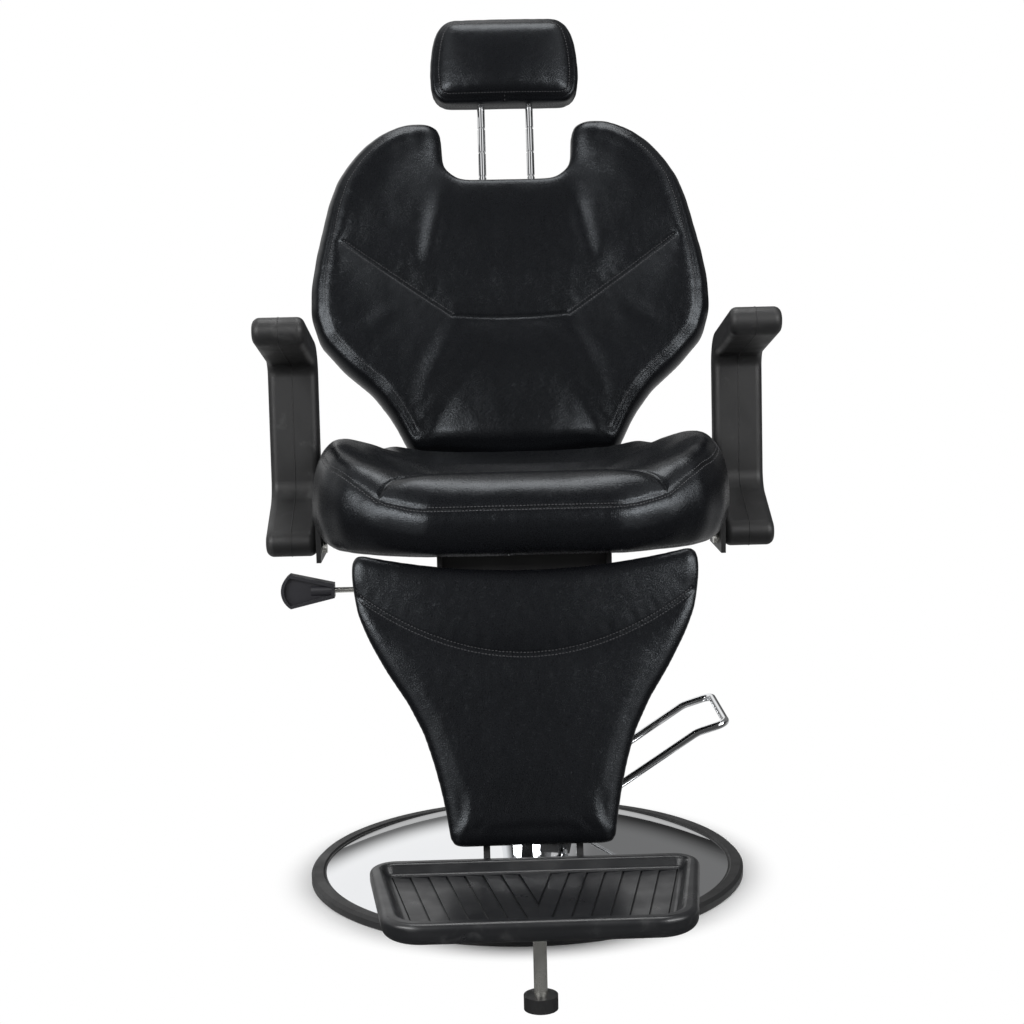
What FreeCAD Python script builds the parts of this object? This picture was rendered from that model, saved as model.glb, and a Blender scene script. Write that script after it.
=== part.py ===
import FreeCAD, Part
import math
import os

V = FreeCAD.Vector
X = V(1, 0, 0)
Y = V(0, 1, 0)
Z = V(0, 0, 1)

# Base, pump and ram, in millimetres; the floor is z = 0 and the chair faces -Y
base_radius = 292.0
rim_width = 20.0
rim_height = 14.0
rim_chamfer = 4.0
rim_lip = 2.0
ledge_width = 32.0
ledge_height = 4.0
dome_height = 64.0
dome_thickness = 2.0
plate_thickness = 8.0
plate_lap = 10.0
ram_radius = 28.0
ram_travel = 150.0
ram_guided = 61.0
piston_wall = 2.0
piston_height = 24.0
cylinder_wall = 8.0
flange_width = 42.0
flange_thickness = 10.0
collar_width = 18.0
collar_lip = 9.0
collar_height = 16.0
collar_depth = 8.0
gland_lip = 6.0
gland_height = 12.0
gland_room = 15.0
spigot_radius = 16.0
hub_wall = 14.0
bearing_width = 24.0
bearing_height = 12.0

# Pump lever, measured from its pivot
lever_radius = 5.0
lever_half_span = 78.0
lever_bend_reach = 174.0
lever_bend_rise = 115.0
lever_reach = 213.0
lever_rise = 127.0
lever_bend_round = 40.0
lever_tip_round = 14.0
lever_eye_half = 7.0
lever_eye_wall = 5.0
shaft_radius = 7.0
block_half = 34.0
block_wall = 5.0

# Seat, frame and arms
seat_bottom = 466.0
seat_front = -250.0
seat_rear = 206.0
seat_half = 268.0
seat_widest = -95.0
seat_crown = 100.0
seat_slope = 13.0
seat_front_roll = 110.0
seat_front_drop = 52.0
seat_rear_roll = 24.0
seat_rear_drop = 20.0
seat_tuck = 20.0
seat_tuck_reach = 36.0
seat_edge_drop = 2.0
bolster_rise = 34.0
bolster_reach = 185.0
bolster_middle = -35.0
steel = 6.0
rail_height = 36.0
rail_inner = 101.0
plate_half = 80.0
swivel_bolt_inset = 15.0
seat_screw_inset = 16.0
seat_screw_margin = 30.0
low_plate_lap = 20.0
hinge_head = 4.0
hinge_head_thick = 5.0
board_thickness = 14.0
board_half = 158.0
board_half_length = 180.0
board_round = 40.0
arm_tuck = 3.0
arm_width = 66.0
arm_half_thickness = 18.0
arm_round = 10.0
arm_front_y = -107.0
arm_front_rise = 273.0
arm_rear_y = 60.0
arm_rear_rise = 237.0
arm_rear_round = 34.0
arm_foot_y = 51.0
arm_foot_rise = 42.0
arm_foot_round = 46.0
arm_toe_y = -42.0
arm_toe_rise = -2.0
bracket_half = 26.0
bracket_end = 5.0
flange_start = 16.0
flange_end = 15.0
arm_bolt_ahead = 4.0
arm_bolt_low = 9.0
arm_bolt_pitch = 50.0
arm_bolt_high = 15.0
bolt_radius = 5.0
bolt_grip = 34.0
screw_radius = 3.0
screw_depth = 10.0
swivel_bolt_radius = 4.0

# Backrest and headrest, measured along the leaning panel
back_lean = 16.0
back_rise = 89.0
back_gap = 6.0
back_low = -4.0
back_height = 495.0
back_half = 291.0
back_depth = 28.0
back_full = 32.0
back_thin = 6.0
back_edge = 12.0
back_dish = 18.0
back_side = 4.0
back_roll = 60.0
panel = 12.0
board_inset = 26.0
back_bar_top = 330.0
back_bar_width = 24.0
back_bar_thick = 8.0
back_screw_low = 60.0
back_screw_high = 50.0
back_hinge_back = 32.0
back_hinge_up = 4.0
hinge_radius = 8.0
hinge_lug = 18.0
torque_radius = 14.0
crank_drop = 55.0
crank_thick = 8.0
link_crank_half = 11.0
gas_crank = 95.0
recline_degrees = 40.0
notch_half = 92.0
notch_bottom = 401.0
notch_round = 34.0
shoulder_round = 26.0
guide_x = 35.5
guide_depth = 10.0
guide_wall = 2.5
guide_length = 136.0
guide_sink = 3.0
head_rod_radius = 5.5
head_rod_engaged = 112.0
head_rod_groove = 1.2
groove_height = 3.0
groove_pitch = 36.5
groove_first = 46.0
head_half = 107.0
head_low = 520.0
head_height = 123.0
head_back = 30.0
head_full = 22.0
head_crown = 12.0
head_side = 4.0
head_roll = 42.0
head_panel = 6.0

# Legrest and footrest, measured along the leaning pad
leg_lean = 18.0
leg_rise = 1.0
leg_setback = 10.0
leg_half = 206.0
leg_length = 336.0
leg_pad = 20.0
leg_face = 2.0
leg_edge = 1.0
leg_top_round = 10.0
leg_low_round = 6.0
leg_roll = 36.0
leg_panel = 8.0
leg_board_inset = 12.0
leg_board_drop = 26.0
leg_dip = 24.0
leg_bar = 8.0
leg_bar_width = 8.0
leg_bar_x = 55.0
leg_bar_round = 24.0
leg_hinge_drop = 20.0
leg_hinge_depth = 30.0
leg_hinge_radius = 5.0
leg_tube_wall = 4.0
strap_drop = 170.0
strap_thick = 5.0
strap_reach = 30.0
strap_half_height = 15.0
strap_screw_inset = 10.0
tray_drop = 19.5
tray_height = 25.0
tray_depth = 224.0
tray_half = 195.0
tray_front_half = 166.0
tray_back_round = 30.0
tray_front_round = 46.0
tray_floor = 13.0
tray_rim = 15.0
tray_slope = 8.0
tray_edge = 7.0
tray_base_round = 12.0
tray_lip = 6.0
tray_heel = 6.0
tray_gap = 14.0
tray_bolt_back = 40.0
tray_bolt_front = 10.0
support_bar_half = 16.0
tread_pitch = 21.0
tread_step = 1.6
tread_angle = 10.0
tread_start = 4.0
tread_groove = 2.0
tread_deep = 3.0
support_radius = 7.5
support_reach = 154.0
foot_radius = 19.0
foot_height = 16.0
foot_low = 4.0

# Gas spring, link and recline lever
gas_radius = 13.0
gas_wall = 2.0
gas_rod_radius = 5.0
gas_length = 160.0
gas_gap = 7.0
gas_mount = 20.0
gas_stop = 15.0
piston_thick = 8.0
seal_thick = 12.0
release_back = 16.0
release_socket = 40.0
button_radius = 4.0
button_length = 8.5
button_offset = 4.0
button_rise = 7.0
fork_reach = 74.0
fork_thick = 5.0
fork_half = 12.0
pin_radius = 5.0
link_half = 8.5
link_thick = 6.0
link_inset = 10.0
recline_rise = 32.0
recline_rod_radius = 3.5
recline_out = 13.0
lever_pin_radius = 4.0
ear_gap = 10.0
ear_thick = 5.0
knob_tip = 308.0
knob_length = 68.0
knob_neck_half = 9.0
knob_wide_half = 22.0
knob_wide_at = 56.0
knob_thick = 18.0
knob_wall = 4.0
knob_hollow = 5.0
knob_socket = 30.0

# Clearances
running_fit = 0.05
bolt_clearance = 0.2
pocket_clearance = 0.2
open_pivot = 0.45
fork_slack = 0.6
lug_gap = 0.6
side_gap = 1.0
bearing_gap = 0.3


def box(x0, x1, y0, y1, z0, z1):
    return Part.makeBox(x1 - x0, y1 - y0, z1 - z0, V(x0, y0, z0))


def rod(start, axis, radius, length):
    return Part.makeCylinder(radius, length, start, axis)


def cross_rod(half, y, z, radius):
    # A round bar along X that reaches the same way to both sides
    return rod(V(-half, y, z), X, radius, 2 * half)


def sleeve(start, axis, outer, inner, length):
    return rod(start, axis, outer, length).cut(rod(start, axis, inner, length))


def join(shapes):
    return shapes[0].fuse(shapes[1:]).removeSplitter()


def arc(a, b, c):
    return Part.Arc(a, b, c).toShape()


def line(a, b):
    return Part.LineSegment(a, b).toShape()


def prism(points, direction):
    wire = Part.makePolygon(points + [points[0]])
    return Part.Face(wire).extrude(direction)


def turned(points):
    # Points are radius and height; the profile turns about Z
    outline = [V(r, 0, z) for r, z in points]
    wire = Part.makePolygon(outline + [outline[0]])
    return Part.Face(wire).revolve(V(0, 0, 0), Z, 360)


def hexagon(centre, axis, across, length):
    # A hexagonal prism along X or Z
    u = Y if abs(axis.x) > 0.5 else X
    w = axis.cross(u)
    radius = across / math.sqrt(3.0)
    points = []
    for k in range(6):
        a = math.radians(60 * k)
        points.append(centre + u * (radius * math.cos(a)) + w * (radius * math.sin(a)))
    return prism(points, axis * length)


def hex_bolt(start, axis, radius, length):
    # A bolt whose shank runs from start along axis, with its head behind start
    head = 1.3 * radius
    shank = rod(start, axis, radius, length)
    return join([shank, hexagon(start - axis * head, axis, 3.0 * radius, head)])


def pan_screw(start, axis, length):
    # A screw whose shank runs from start along axis, with its round head behind start
    shank = rod(start, axis, screw_radius, length)
    return join([shank, rod(start - axis * screw_radius, axis, 2 * screw_radius, screw_radius)])


def corner(a, b, c, radius):
    # Tangent points of the arc that rounds the corner b, and the middle of that arc
    u = (a - b).normalize()
    w = (c - b).normalize()
    half = u.getAngle(w) / 2.0
    t = radius / math.tan(half)
    middle = (u + w).normalize()
    return b + u * t, b + w * t, b + middle * (radius / math.sin(half) - radius)


def path(points, radii):
    # Straight runs joined by tangent arcs
    edges = []
    last = points[0]
    for k in range(1, len(points) - 1):
        t1, t2, mid = corner(points[k - 1], points[k], points[k + 1], radii[k - 1])
        edges.append(line(last, t1))
        edges.append(arc(t1, mid, t2))
        last = t2
    edges.append(line(last, points[-1]))
    return Part.Wire(edges)


def closed_path(points, radii):
    # A closed outline with every corner rounded
    count = len(points)
    ends = [corner(points[k - 1], points[k], points[(k + 1) % count], radii[k]) for k in range(count)]
    edges = []
    for k in range(count):
        t1, t2, mid = ends[k]
        edges.append(arc(t1, mid, t2))
        edges.append(line(t2, ends[(k + 1) % count][0]))
    return Part.Wire(edges)


def bent_rod(points, radii, radius):
    profile = Part.Wire([Part.makeCircle(radius, points[0], points[1] - points[0])])
    return path(points, radii).makePipeShell([profile], True, True)


def band(points, radii, half, x0, width):
    # A bent bar of one thickness with round ends, along a path of y and z pairs, pushed along X
    wire = path([V(x0, y, z) for y, z in points], radii)
    outline = wire.makeOffset2D(half, 0, False, False)
    return Part.Face(outline).extrude(X * width)


def strap(a, b, half, x0, width):
    # A straight bar with round ends between two y and z pairs, pushed along X
    start = V(x0, a[0], a[1])
    end = V(x0, b[0], b[1])
    side = X.cross(end - start).normalize() * half
    middle = prism([start - side, start + side, end + side, end - side], X * width)
    return join([middle, rod(start, X, half, width), rod(end, X, half, width)])


def rounded_plate(centre, half_x, half_y, radius, direction):
    # A rounded rectangle pushed along Z or along Y
    w = Y if abs(direction.z) > 0 else Z
    spots = ((-1, -1), (1, -1), (1, 1), (-1, 1))
    points = [centre + X * (a * half_x) + w * (b * half_y) for a, b in spots]
    return Part.Face(closed_path(points, [radius] * 4)).extrude(direction)


def loft(wires):
    return Part.makeLoft(wires, True, True)


def lean(shape, degrees, y, z):
    # Local panel: x across, y to the rear, z up the panel; it leans about its own origin
    moved = shape.copy()
    moved.rotate(V(0, 0, 0), X, -degrees)
    moved.translate(V(0, y, z))
    return moved


def lean_point(depth, height, degrees, y, z):
    a = math.radians(degrees)
    return y + depth * math.cos(a) + height * math.sin(a), z - depth * math.sin(a) + height * math.cos(a)


def stations(count):
    # Shares of a length from 0 to 1, closer together at both ends
    return [0.5 - 0.5 * math.cos(math.pi * k / count) for k in range(count + 1)]


def smooth(knots, t):
    # A curve through the knots that never swings past them
    slopes = []
    for a, b in zip(knots, knots[1:]):
        slopes.append((b[1] - a[1]) / (b[0] - a[0]))
    grades = [slopes[0]]
    for s0, s1 in zip(slopes, slopes[1:]):
        grades.append(0.0 if s0 * s1 <= 0 else 2 * s0 * s1 / (s0 + s1))
    grades.append(slopes[-1])
    k = 0
    while k < len(slopes) - 1 and t > knots[k + 1][0]:
        k += 1
    span = knots[k + 1][0] - knots[k][0]
    u = (t - knots[k][0]) / span
    rise = u * u * (3 - 2 * u)
    start = u * (1 - u) ** 2 * span * grades[k]
    end = u * u * (u - 1) * span * grades[k + 1]
    return knots[k][1] + rise * (knots[k + 1][1] - knots[k][1]) + start + end


def rounding(distance, reach):
    # Share of a quarter round still to rise at a distance from the edge
    s = 1.0 - min(1.0, max(0.0, distance / reach))
    return 1.0 - math.sqrt(1.0 - s * s)


def pad_section(half, back_half, face_half, back, side, face, crown, place):
    # A flat back, two bowed sides and a crowned or dished face; place turns a pair into a point
    edges = [line(place(-back_half, back), place(back_half, back)),
             arc(place(back_half, back), place(half, side), place(face_half, face)),
             arc(place(face_half, face), place(0, crown), place(-face_half, face)),
             arc(place(-face_half, face), place(-half, side), place(-back_half, back))]
    return Part.Wire(edges)


parts = {}

# Heights and radii that follow from the sizes
rail_bottom = seat_bottom - rail_height
rail_outer = rail_inner + steel
plate_z = rail_bottom - steel
shoulder = plate_z - bearing_height
gland_low = shoulder - gland_room - gland_height
cylinder_bore = ram_radius + piston_wall
pump_radius = cylinder_bore + cylinder_wall
flange_radius = pump_radius + flange_width
gland_radius = pump_radius + gland_lip
dome_hole = pump_radius + collar_width
plate_top = ledge_height + plate_thickness
flange_top = plate_top + flange_thickness

# Base: rubber rim with a ledge that carries the steel plate, and the chrome dome
rim_inner = base_radius - rim_width
ledge_inner = rim_inner - ledge_width
parts["base_rim"] = turned([
    (ledge_inner, 0), (base_radius - rim_lip, 0), (base_radius, rim_lip),
    (base_radius, rim_height - rim_chamfer), (base_radius - rim_chamfer, rim_height),
    (rim_inner + rim_chamfer, rim_height), (rim_inner + rim_lip, rim_height - rim_lip),
    (rim_inner, rim_height - rim_lip), (rim_inner, ledge_height), (ledge_inner, ledge_height)])
dome_radius = rim_inner - bolt_clearance
dome_edge = rim_height - rim_lip
dome_sag = dome_height - dome_edge
dome_ball = (dome_radius ** 2 + dome_sag ** 2) / (2 * dome_sag)


def dome_point(radius, drop):
    # A point on the dome's top face, or drop below it
    return V(radius, 0, dome_height - drop - dome_ball + math.sqrt(dome_ball ** 2 - radius ** 2))


def dome_arc(outer, drop):
    middle = (outer + dome_hole) / 2
    return arc(dome_point(outer, drop), dome_point(middle, drop), dome_point(dome_hole, drop))


dome_inside = dome_radius - dome_thickness
dome_foot = V(dome_radius, 0, ledge_height)
dome_inner_foot = V(dome_inside, 0, ledge_height)
dome_wire = Part.Wire([
    line(dome_foot, dome_point(dome_radius, 0)),
    dome_arc(dome_radius, 0),
    line(dome_point(dome_hole, 0), dome_point(dome_hole, dome_thickness)),
    dome_arc(dome_inside, dome_thickness).reversed(),
    line(dome_point(dome_inside, dome_thickness), dome_inner_foot),
    line(dome_inner_foot, dome_foot)])
parts["base_dome"] = Part.Face(dome_wire).revolve(V(0, 0, 0), Z, 360)

# Base plate and pump cylinder with its bolted flange
bolt_ring = pump_radius + flange_width / 2 + screw_radius
bolt_spots = []
for k in range(4):
    angle = math.radians(45 + 90 * k)
    bolt_spots.append(V(bolt_ring * math.cos(angle), bolt_ring * math.sin(angle), 0))
bolt_holes = [rod(p, Z, bolt_radius + bolt_clearance, flange_top) for p in bolt_spots]
base_plate = rod(V(0, 0, ledge_height), Z, ledge_inner + plate_lap, plate_thickness)
parts["base_plate"] = base_plate.cut(bolt_holes)
pump = join([rod(V(0, 0, plate_top), Z, pump_radius, gland_low - plate_top),
             rod(V(0, 0, plate_top), Z, flange_radius, flange_thickness)])
pump_bore = rod(V(0, 0, flange_top), Z, cylinder_bore, gland_low)
parts["pump_cylinder"] = pump.cut(bolt_holes + [pump_bore])
bolt_length = flange_top - ledge_height
pump_bolts = [hex_bolt(p + Z * flange_top, -Z, bolt_radius, bolt_length) for p in bolt_spots]
parts["pump_bolts"] = Part.makeCompound(pump_bolts)

# Chrome collar in the hole of the dome, and the gland that guides the ram
collar_low = dome_point(dome_hole, 0).z
collar_top = collar_low + collar_height
collar_bore = pump_radius + running_fit
collar_plug = dome_hole - bearing_gap
parts["pump_collar"] = turned([
    (collar_bore, collar_low - collar_depth), (collar_plug, collar_low - collar_depth),
    (collar_plug, collar_low), (dome_hole + collar_lip, collar_low),
    (dome_hole + collar_lip, collar_low + collar_height * 0.2),
    (dome_hole + collar_lip / 2, collar_low + collar_height * 0.4),
    (pump_radius + collar_width * 0.65, collar_top - collar_height * 0.25),
    (pump_radius + collar_width * 0.4, collar_top), (collar_bore, collar_top)])
gland_bore = ram_radius + running_fit
gland_top = gland_low + gland_height
parts["pump_gland"] = turned([
    (gland_bore, gland_low), (gland_radius, gland_low), (gland_radius, gland_top - gland_lip / 2),
    (gland_radius - gland_lip / 2, gland_top), (gland_bore, gland_top)])

# Lever block on the side of the pump, and the lever with its shaft
pivot_x = pump_radius + shaft_radius + block_wall
pivot_z = collar_top + shaft_radius + block_wall
block_size = shaft_radius + block_wall
shaft_half = lever_half_span + lever_eye_half + lever_eye_wall


def lever_shaft(radius):
    return rod(V(pivot_x, -shaft_half, pivot_z), Y, radius, 2 * shaft_half)


block = box(pump_radius / 2, pivot_x + block_size, -block_half, block_half, collar_top, pivot_z + block_size)
block_holes = [rod(V(0, 0, 0), Z, pump_radius, gland_low), lever_shaft(shaft_radius + running_fit)]
parts["lever_block"] = block.cut(block_holes)
parts["lever_shaft"] = lever_shaft(shaft_radius)


def lever_spot(reach, side, rise):
    return V(pivot_x + reach, side * lever_half_span, pivot_z + rise)


loop_points = [lever_spot(0, -1, 0), lever_spot(lever_bend_reach, -1, lever_bend_rise)]
loop_points += [lever_spot(lever_reach, -1, lever_rise), lever_spot(lever_reach, 1, lever_rise)]
loop_points += [lever_spot(lever_bend_reach, 1, lever_bend_rise), lever_spot(0, 1, 0)]
loop_rounds = [lever_bend_round, lever_tip_round, lever_tip_round, lever_bend_round]
loop = bent_rod(loop_points, loop_rounds, lever_radius)
eyes = []
for side in (-1, 1):
    start = lever_spot(0, side, 0) - Y * lever_eye_half
    eyes.append(rod(start, Y, shaft_radius + lever_eye_wall, 2 * lever_eye_half))
parts["pump_lever"] = join([loop] + eyes).cut(lever_shaft(shaft_radius))

# Ram with its piston, and the bearing that the seat turns on
hub_height = rail_height - bolt_radius
piston_low = gland_low - ram_travel - piston_height - ram_guided
spigot_top = plate_z + hub_height - steel
parts["ram"] = join([rod(V(0, 0, piston_low), Z, ram_radius, shoulder - piston_low),
                     rod(V(0, 0, shoulder), Z, spigot_radius, spigot_top - shoulder)])
parts["ram_piston"] = sleeve(V(0, 0, piston_low), Z, cylinder_bore - running_fit, ram_radius, piston_height)
bearing_radius = spigot_radius + bearing_width
bearing_rise = bearing_height - bearing_gap
parts["swivel_bearing"] = sleeve(V(0, 0, shoulder), Z, bearing_radius, spigot_radius, bearing_rise)

# Swivel plate bolted under the seat frame
hub_radius = spigot_radius + hub_wall
hub = join([box(-plate_half, plate_half, -plate_half, plate_half, plate_z, rail_bottom),
            rod(V(0, 0, plate_z), Z, hub_radius, hub_height)])
swivel_spot = plate_half - swivel_bolt_inset
swivel_spots = [V(a * swivel_spot, b * swivel_spot, plate_z) for a in (-1, 1) for b in (-1, 1)]
swivel_holes = [rod(p, Z, swivel_bolt_radius + bolt_clearance, 2 * steel) for p in swivel_spots]
spigot_hole = rod(V(0, 0, plate_z), Z, spigot_radius + running_fit, hub_height)
parts["swivel_plate"] = hub.cut(swivel_holes + [spigot_hole])
swivel_bolts = []
for p in swivel_spots:
    nut = hexagon(p + Z * (2 * steel), Z, 3 * swivel_bolt_radius, steel)
    swivel_bolts.append(join([hex_bolt(p, Z, swivel_bolt_radius, 2 * steel), nut]))
parts["swivel_bolts"] = Part.makeCompound(swivel_bolts)

# Hinges, cranks and the points that the link and the gas spring work on
back_y = seat_rear - back_gap
back_z = seat_bottom + back_rise
back_rear = back_depth + panel
leg_y = seat_front + leg_setback
leg_z = seat_bottom + leg_rise
back_hinge_y = back_y + back_hinge_back
back_hinge_z = seat_bottom + back_hinge_up
leg_hinge_y, leg_hinge_z = lean_point(leg_hinge_depth, -leg_hinge_drop, leg_lean, leg_y, leg_z)
link_front = (leg_hinge_y, leg_hinge_z - crank_drop)
link_rear = (back_hinge_y, back_hinge_z - crank_drop)
half_turn = math.radians(recline_degrees / 2)
gas_travel = 2 * gas_crank * math.sin(half_turn)
gas_pin_y = back_hinge_y + gas_crank * math.sin(half_turn)
gas_pin_z = back_hinge_z - gas_crank * math.cos(half_turn)
gas_low_z = back_hinge_z - gas_crank
gas_z = (gas_pin_z + gas_low_z) / 2
gas_x = -(gland_radius + gas_gap + gas_radius)
gas_front = -plate_half - gas_mount
link_x = rail_inner - link_inset
crank_x = link_x - side_gap - crank_thick
tube_half = rail_inner - side_gap

# Seat frame: two rails with hinge lugs, a top plate, a low plate and a front cross plate
frame_front = leg_hinge_y + leg_hinge_depth
frame_back = back_hinge_y - 2 * hinge_lug - leg_hinge_radius
rail_front = leg_hinge_y + leg_pad
front_lug = leg_hinge_depth - leg_pad - lug_gap
rail_outline = [
    (rail_front, rail_bottom), (back_hinge_y - hinge_lug, rail_bottom),
    (back_hinge_y + hinge_lug, back_hinge_z - hinge_lug),
    (back_hinge_y + hinge_lug, back_hinge_z + hinge_lug),
    (back_hinge_y - hinge_lug, back_hinge_z + hinge_lug), (back_hinge_y - 1.3 * hinge_lug, seat_bottom),
    (rail_front, seat_bottom)]
rails = []
for x in (-rail_outer, rail_inner):
    rails.append(prism([V(x, y, z) for y, z in rail_outline], X * steel))
    rails.append(strap((leg_hinge_y, leg_hinge_z), (frame_front, leg_hinge_z), front_lug, x, steel))
top_plate = box(-rail_outer, rail_outer, frame_front, frame_back, seat_bottom - steel, seat_bottom)
low_front = gas_front - low_plate_lap
low_plate = box(-rail_outer, rail_outer, low_front, plate_half, rail_bottom, rail_bottom + steel)
cross = box(-rail_outer, rail_outer, frame_front, frame_front + steel, rail_bottom, seat_bottom)
screw_x = rail_inner - seat_screw_inset
screw_y = board_half_length - seat_screw_margin
seat_screw_spots = []
for x in (-screw_x, screw_x):
    for y in (-screw_y, 0, screw_y):
        seat_screw_spots.append(V(x, y, seat_bottom - steel))
frame_holes = [rod(p, Z, screw_radius + bolt_clearance, steel) for p in seat_screw_spots]
frame_holes += swivel_holes
frame_holes += [rod(V(0, 0, plate_z), Z, hub_radius + 2 * side_gap, 2 * steel),
                cross_rod(rail_outer, leg_hinge_y, leg_hinge_z, leg_hinge_radius),
                cross_rod(rail_outer, back_hinge_y, back_hinge_z, hinge_radius)]
parts["seat_frame"] = join(rails + [top_plate, low_plate, cross]).cut(frame_holes)


def hinge_rod(y, z, radius):
    # A rod through both rails with a round head outside each
    near = rail_outer + bearing_gap
    pieces = [cross_rod(rail_outer + steel, y, z, radius)]
    for side in (-1, 1):
        pieces.append(rod(V(side * near, y, z), X * side, radius + hinge_head, hinge_head_thick))
    return join(pieces)


parts["back_hinge_rod"] = hinge_rod(back_hinge_y, back_hinge_z, hinge_radius)
parts["leg_hinge_rod"] = hinge_rod(leg_hinge_y, leg_hinge_z, leg_hinge_radius)

# Seat board, its screws and the dished cushion around it
board = rounded_plate(V(0, 0, seat_bottom), board_half, board_half_length, board_round, Z * board_thickness)
seat_screws = [pan_screw(p, Z, steel + screw_depth) for p in seat_screw_spots]
parts["seat_board"] = board.cut([rod(p, Z, screw_radius, steel + screw_depth) for p in seat_screw_spots])
parts["seat_screws"] = Part.makeCompound(seat_screws)


def seat_width(y):
    # Half width of the seat: a blunt oval, fuller behind its widest line than in front of it
    if y < seat_widest:
        reach = 1.065 * (seat_widest - seat_front)
        power = 2.4
    else:
        reach = 1.096 * (seat_rear - seat_widest)
        power = 3.0
    return seat_half * (1 - (abs(y - seat_widest) / reach) ** power) ** (1 / power)


def seat_section(t):
    y = seat_front + t * (seat_rear - seat_front)
    ahead = y - seat_front
    behind = seat_rear - y
    half = seat_width(y)
    low = seat_tuck * (max(0.0, 1 - min(ahead, behind) / seat_tuck_reach)) ** 2
    slope = seat_slope * max(0.0, ahead - seat_front_roll) / (seat_rear - seat_front)
    middle = seat_crown - slope - seat_front_drop * rounding(ahead, seat_front_roll)
    middle -= seat_rear_drop * rounding(behind, seat_rear_roll)
    rise = bolster_rise * max(0.0, 1 - ((y - bolster_middle) / bolster_reach) ** 2)
    edge = middle + rise - seat_edge_drop
    under = (0.79 + 0.13 * t) * half
    return pad_section(half, under, 0.895 * half, low, (low + edge) / 2, edge, middle,
                       lambda a, b: V(a, y, seat_bottom + b))


pocket = rounded_plate(V(0, 0, seat_bottom - board_thickness), board_half + pocket_clearance,
                       board_half_length + pocket_clearance, board_round, Z * (2 * board_thickness))
parts["seat_cushion"] = loft([seat_section(t) for t in stations(14)]).cut(pocket)

# Armrests, their brackets and bolts
arm_path = [(arm_front_y, seat_bottom + arm_front_rise), (arm_rear_y, seat_bottom + arm_rear_rise),
            (arm_foot_y, seat_bottom + arm_foot_rise), (arm_toe_y, seat_bottom + arm_toe_rise)]
arm_inner = seat_half - arm_tuck
bracket_x = arm_inner - steel
arm_bolt_y = arm_toe_y + arm_bolt_ahead
arm_bolt_spots = [(arm_bolt_y, seat_bottom - arm_bolt_low),
                  (arm_bolt_y + arm_bolt_pitch, seat_bottom + arm_bolt_high)]
arm_bolts = []
for side, name in ((-1, "left"), (1, "right")):
    arm = band(arm_path, [arm_rear_round, arm_foot_round], arm_half_thickness, 0, arm_width)
    rims = [e for e in arm.Edges if e.BoundBox.XLength < arm_round]
    arm = arm.makeFillet(arm_round, rims)
    arm.translate(X * (arm_inner if side > 0 else -arm_inner - arm_width))
    near, far = sorted((side * bracket_x, side * arm_inner))
    plate = box(near, far, arm_toe_y - bracket_half, arm_foot_y - bracket_end,
                seat_bottom - bracket_half, seat_bottom + bracket_half)
    near, far = sorted((side * (rail_outer + side_gap), side * arm_inner))
    flange = box(near, far, arm_toe_y + flange_start, arm_foot_y - flange_end,
                 seat_bottom - steel, seat_bottom)
    holes = []
    for y, z in arm_bolt_spots:
        start = V(side * bracket_x, y, z)
        holes.append(rod(start, X * side, bolt_radius, steel + bolt_grip))
        arm_bolts.append(hex_bolt(start, X * side, bolt_radius, steel + bolt_grip))
    parts["armrest_" + name] = arm.cut(holes)
    parts["arm_bracket_" + name] = join([plate, flange]).cut(holes)
parts["arm_bolts"] = Part.makeCompound(arm_bolts)

# Release head with its button, and the gas spring with its slotted fork
head_half_size = gas_radius + side_gap
button_y = gas_front + button_offset
button_low = gas_z + button_rise
release_front = gas_front - fork_half
release_left = gas_x - head_half_size
release_right = gas_x + head_half_size
head_block = box(release_left, release_right, release_front, gas_front + release_back,
                 gas_z - fork_half, gas_z + fork_half)
hanger = box(release_left, release_right, release_front, release_front + steel, gas_z, rail_bottom)
gas_hole = rod(V(gas_x, gas_front, gas_z), Y, gas_rod_radius, release_socket)
button_hole = rod(V(gas_x, button_y, button_low), Z, button_radius, fork_half)
parts["release_head"] = join([head_block, hanger]).cut([gas_hole, button_hole])
parts["release_button"] = rod(V(gas_x, button_y, button_low), Z, button_radius, button_length)
barrel_back = gas_pin_y - fork_reach
barrel_front = barrel_back - gas_length
gas_bore = gas_radius - gas_wall
gas_rod_end = barrel_back - steel - gas_travel - gas_stop
gas_shank = rod(V(gas_x, gas_front, gas_z), Y, gas_rod_radius, gas_rod_end - gas_front)
gas_piston_at = V(gas_x, gas_rod_end - piston_thick, gas_z)
gas_piston = rod(gas_piston_at, Y, gas_bore - running_fit, piston_thick)
parts["gas_rod"] = join([gas_shank, gas_piston])
barrel = rod(V(gas_x, barrel_front, gas_z), Y, gas_radius, gas_length)
parts["gas_barrel"] = barrel.cut([
    rod(V(gas_x, barrel_front, gas_z), Y, gas_rod_radius + running_fit, seal_thick),
    rod(V(gas_x, barrel_front + seal_thick, gas_z), Y, gas_bore, gas_length - seal_thick - steel)])
fork_gap = crank_thick / 2 + side_gap
fork_out = fork_gap + fork_thick
fork = box(gas_x - fork_out, gas_x + fork_out, barrel_back, gas_pin_y + fork_half + gas_wall,
           gas_z - fork_half, gas_z + fork_half)
mouth_front = barrel_back + fork_half + gas_wall
fork_mouth = box(gas_x - fork_gap, gas_x + fork_gap, mouth_front, gas_pin_y + 2 * fork_half,
                 gas_z - fork_half, gas_z + fork_half)
slot_half = pin_radius + fork_slack
slot = strap((gas_pin_y, gas_low_z), (gas_pin_y, gas_pin_z), slot_half, gas_x - fork_out, 2 * fork_out)
parts["gas_fork"] = fork.cut([fork_mouth, slot])

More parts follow.
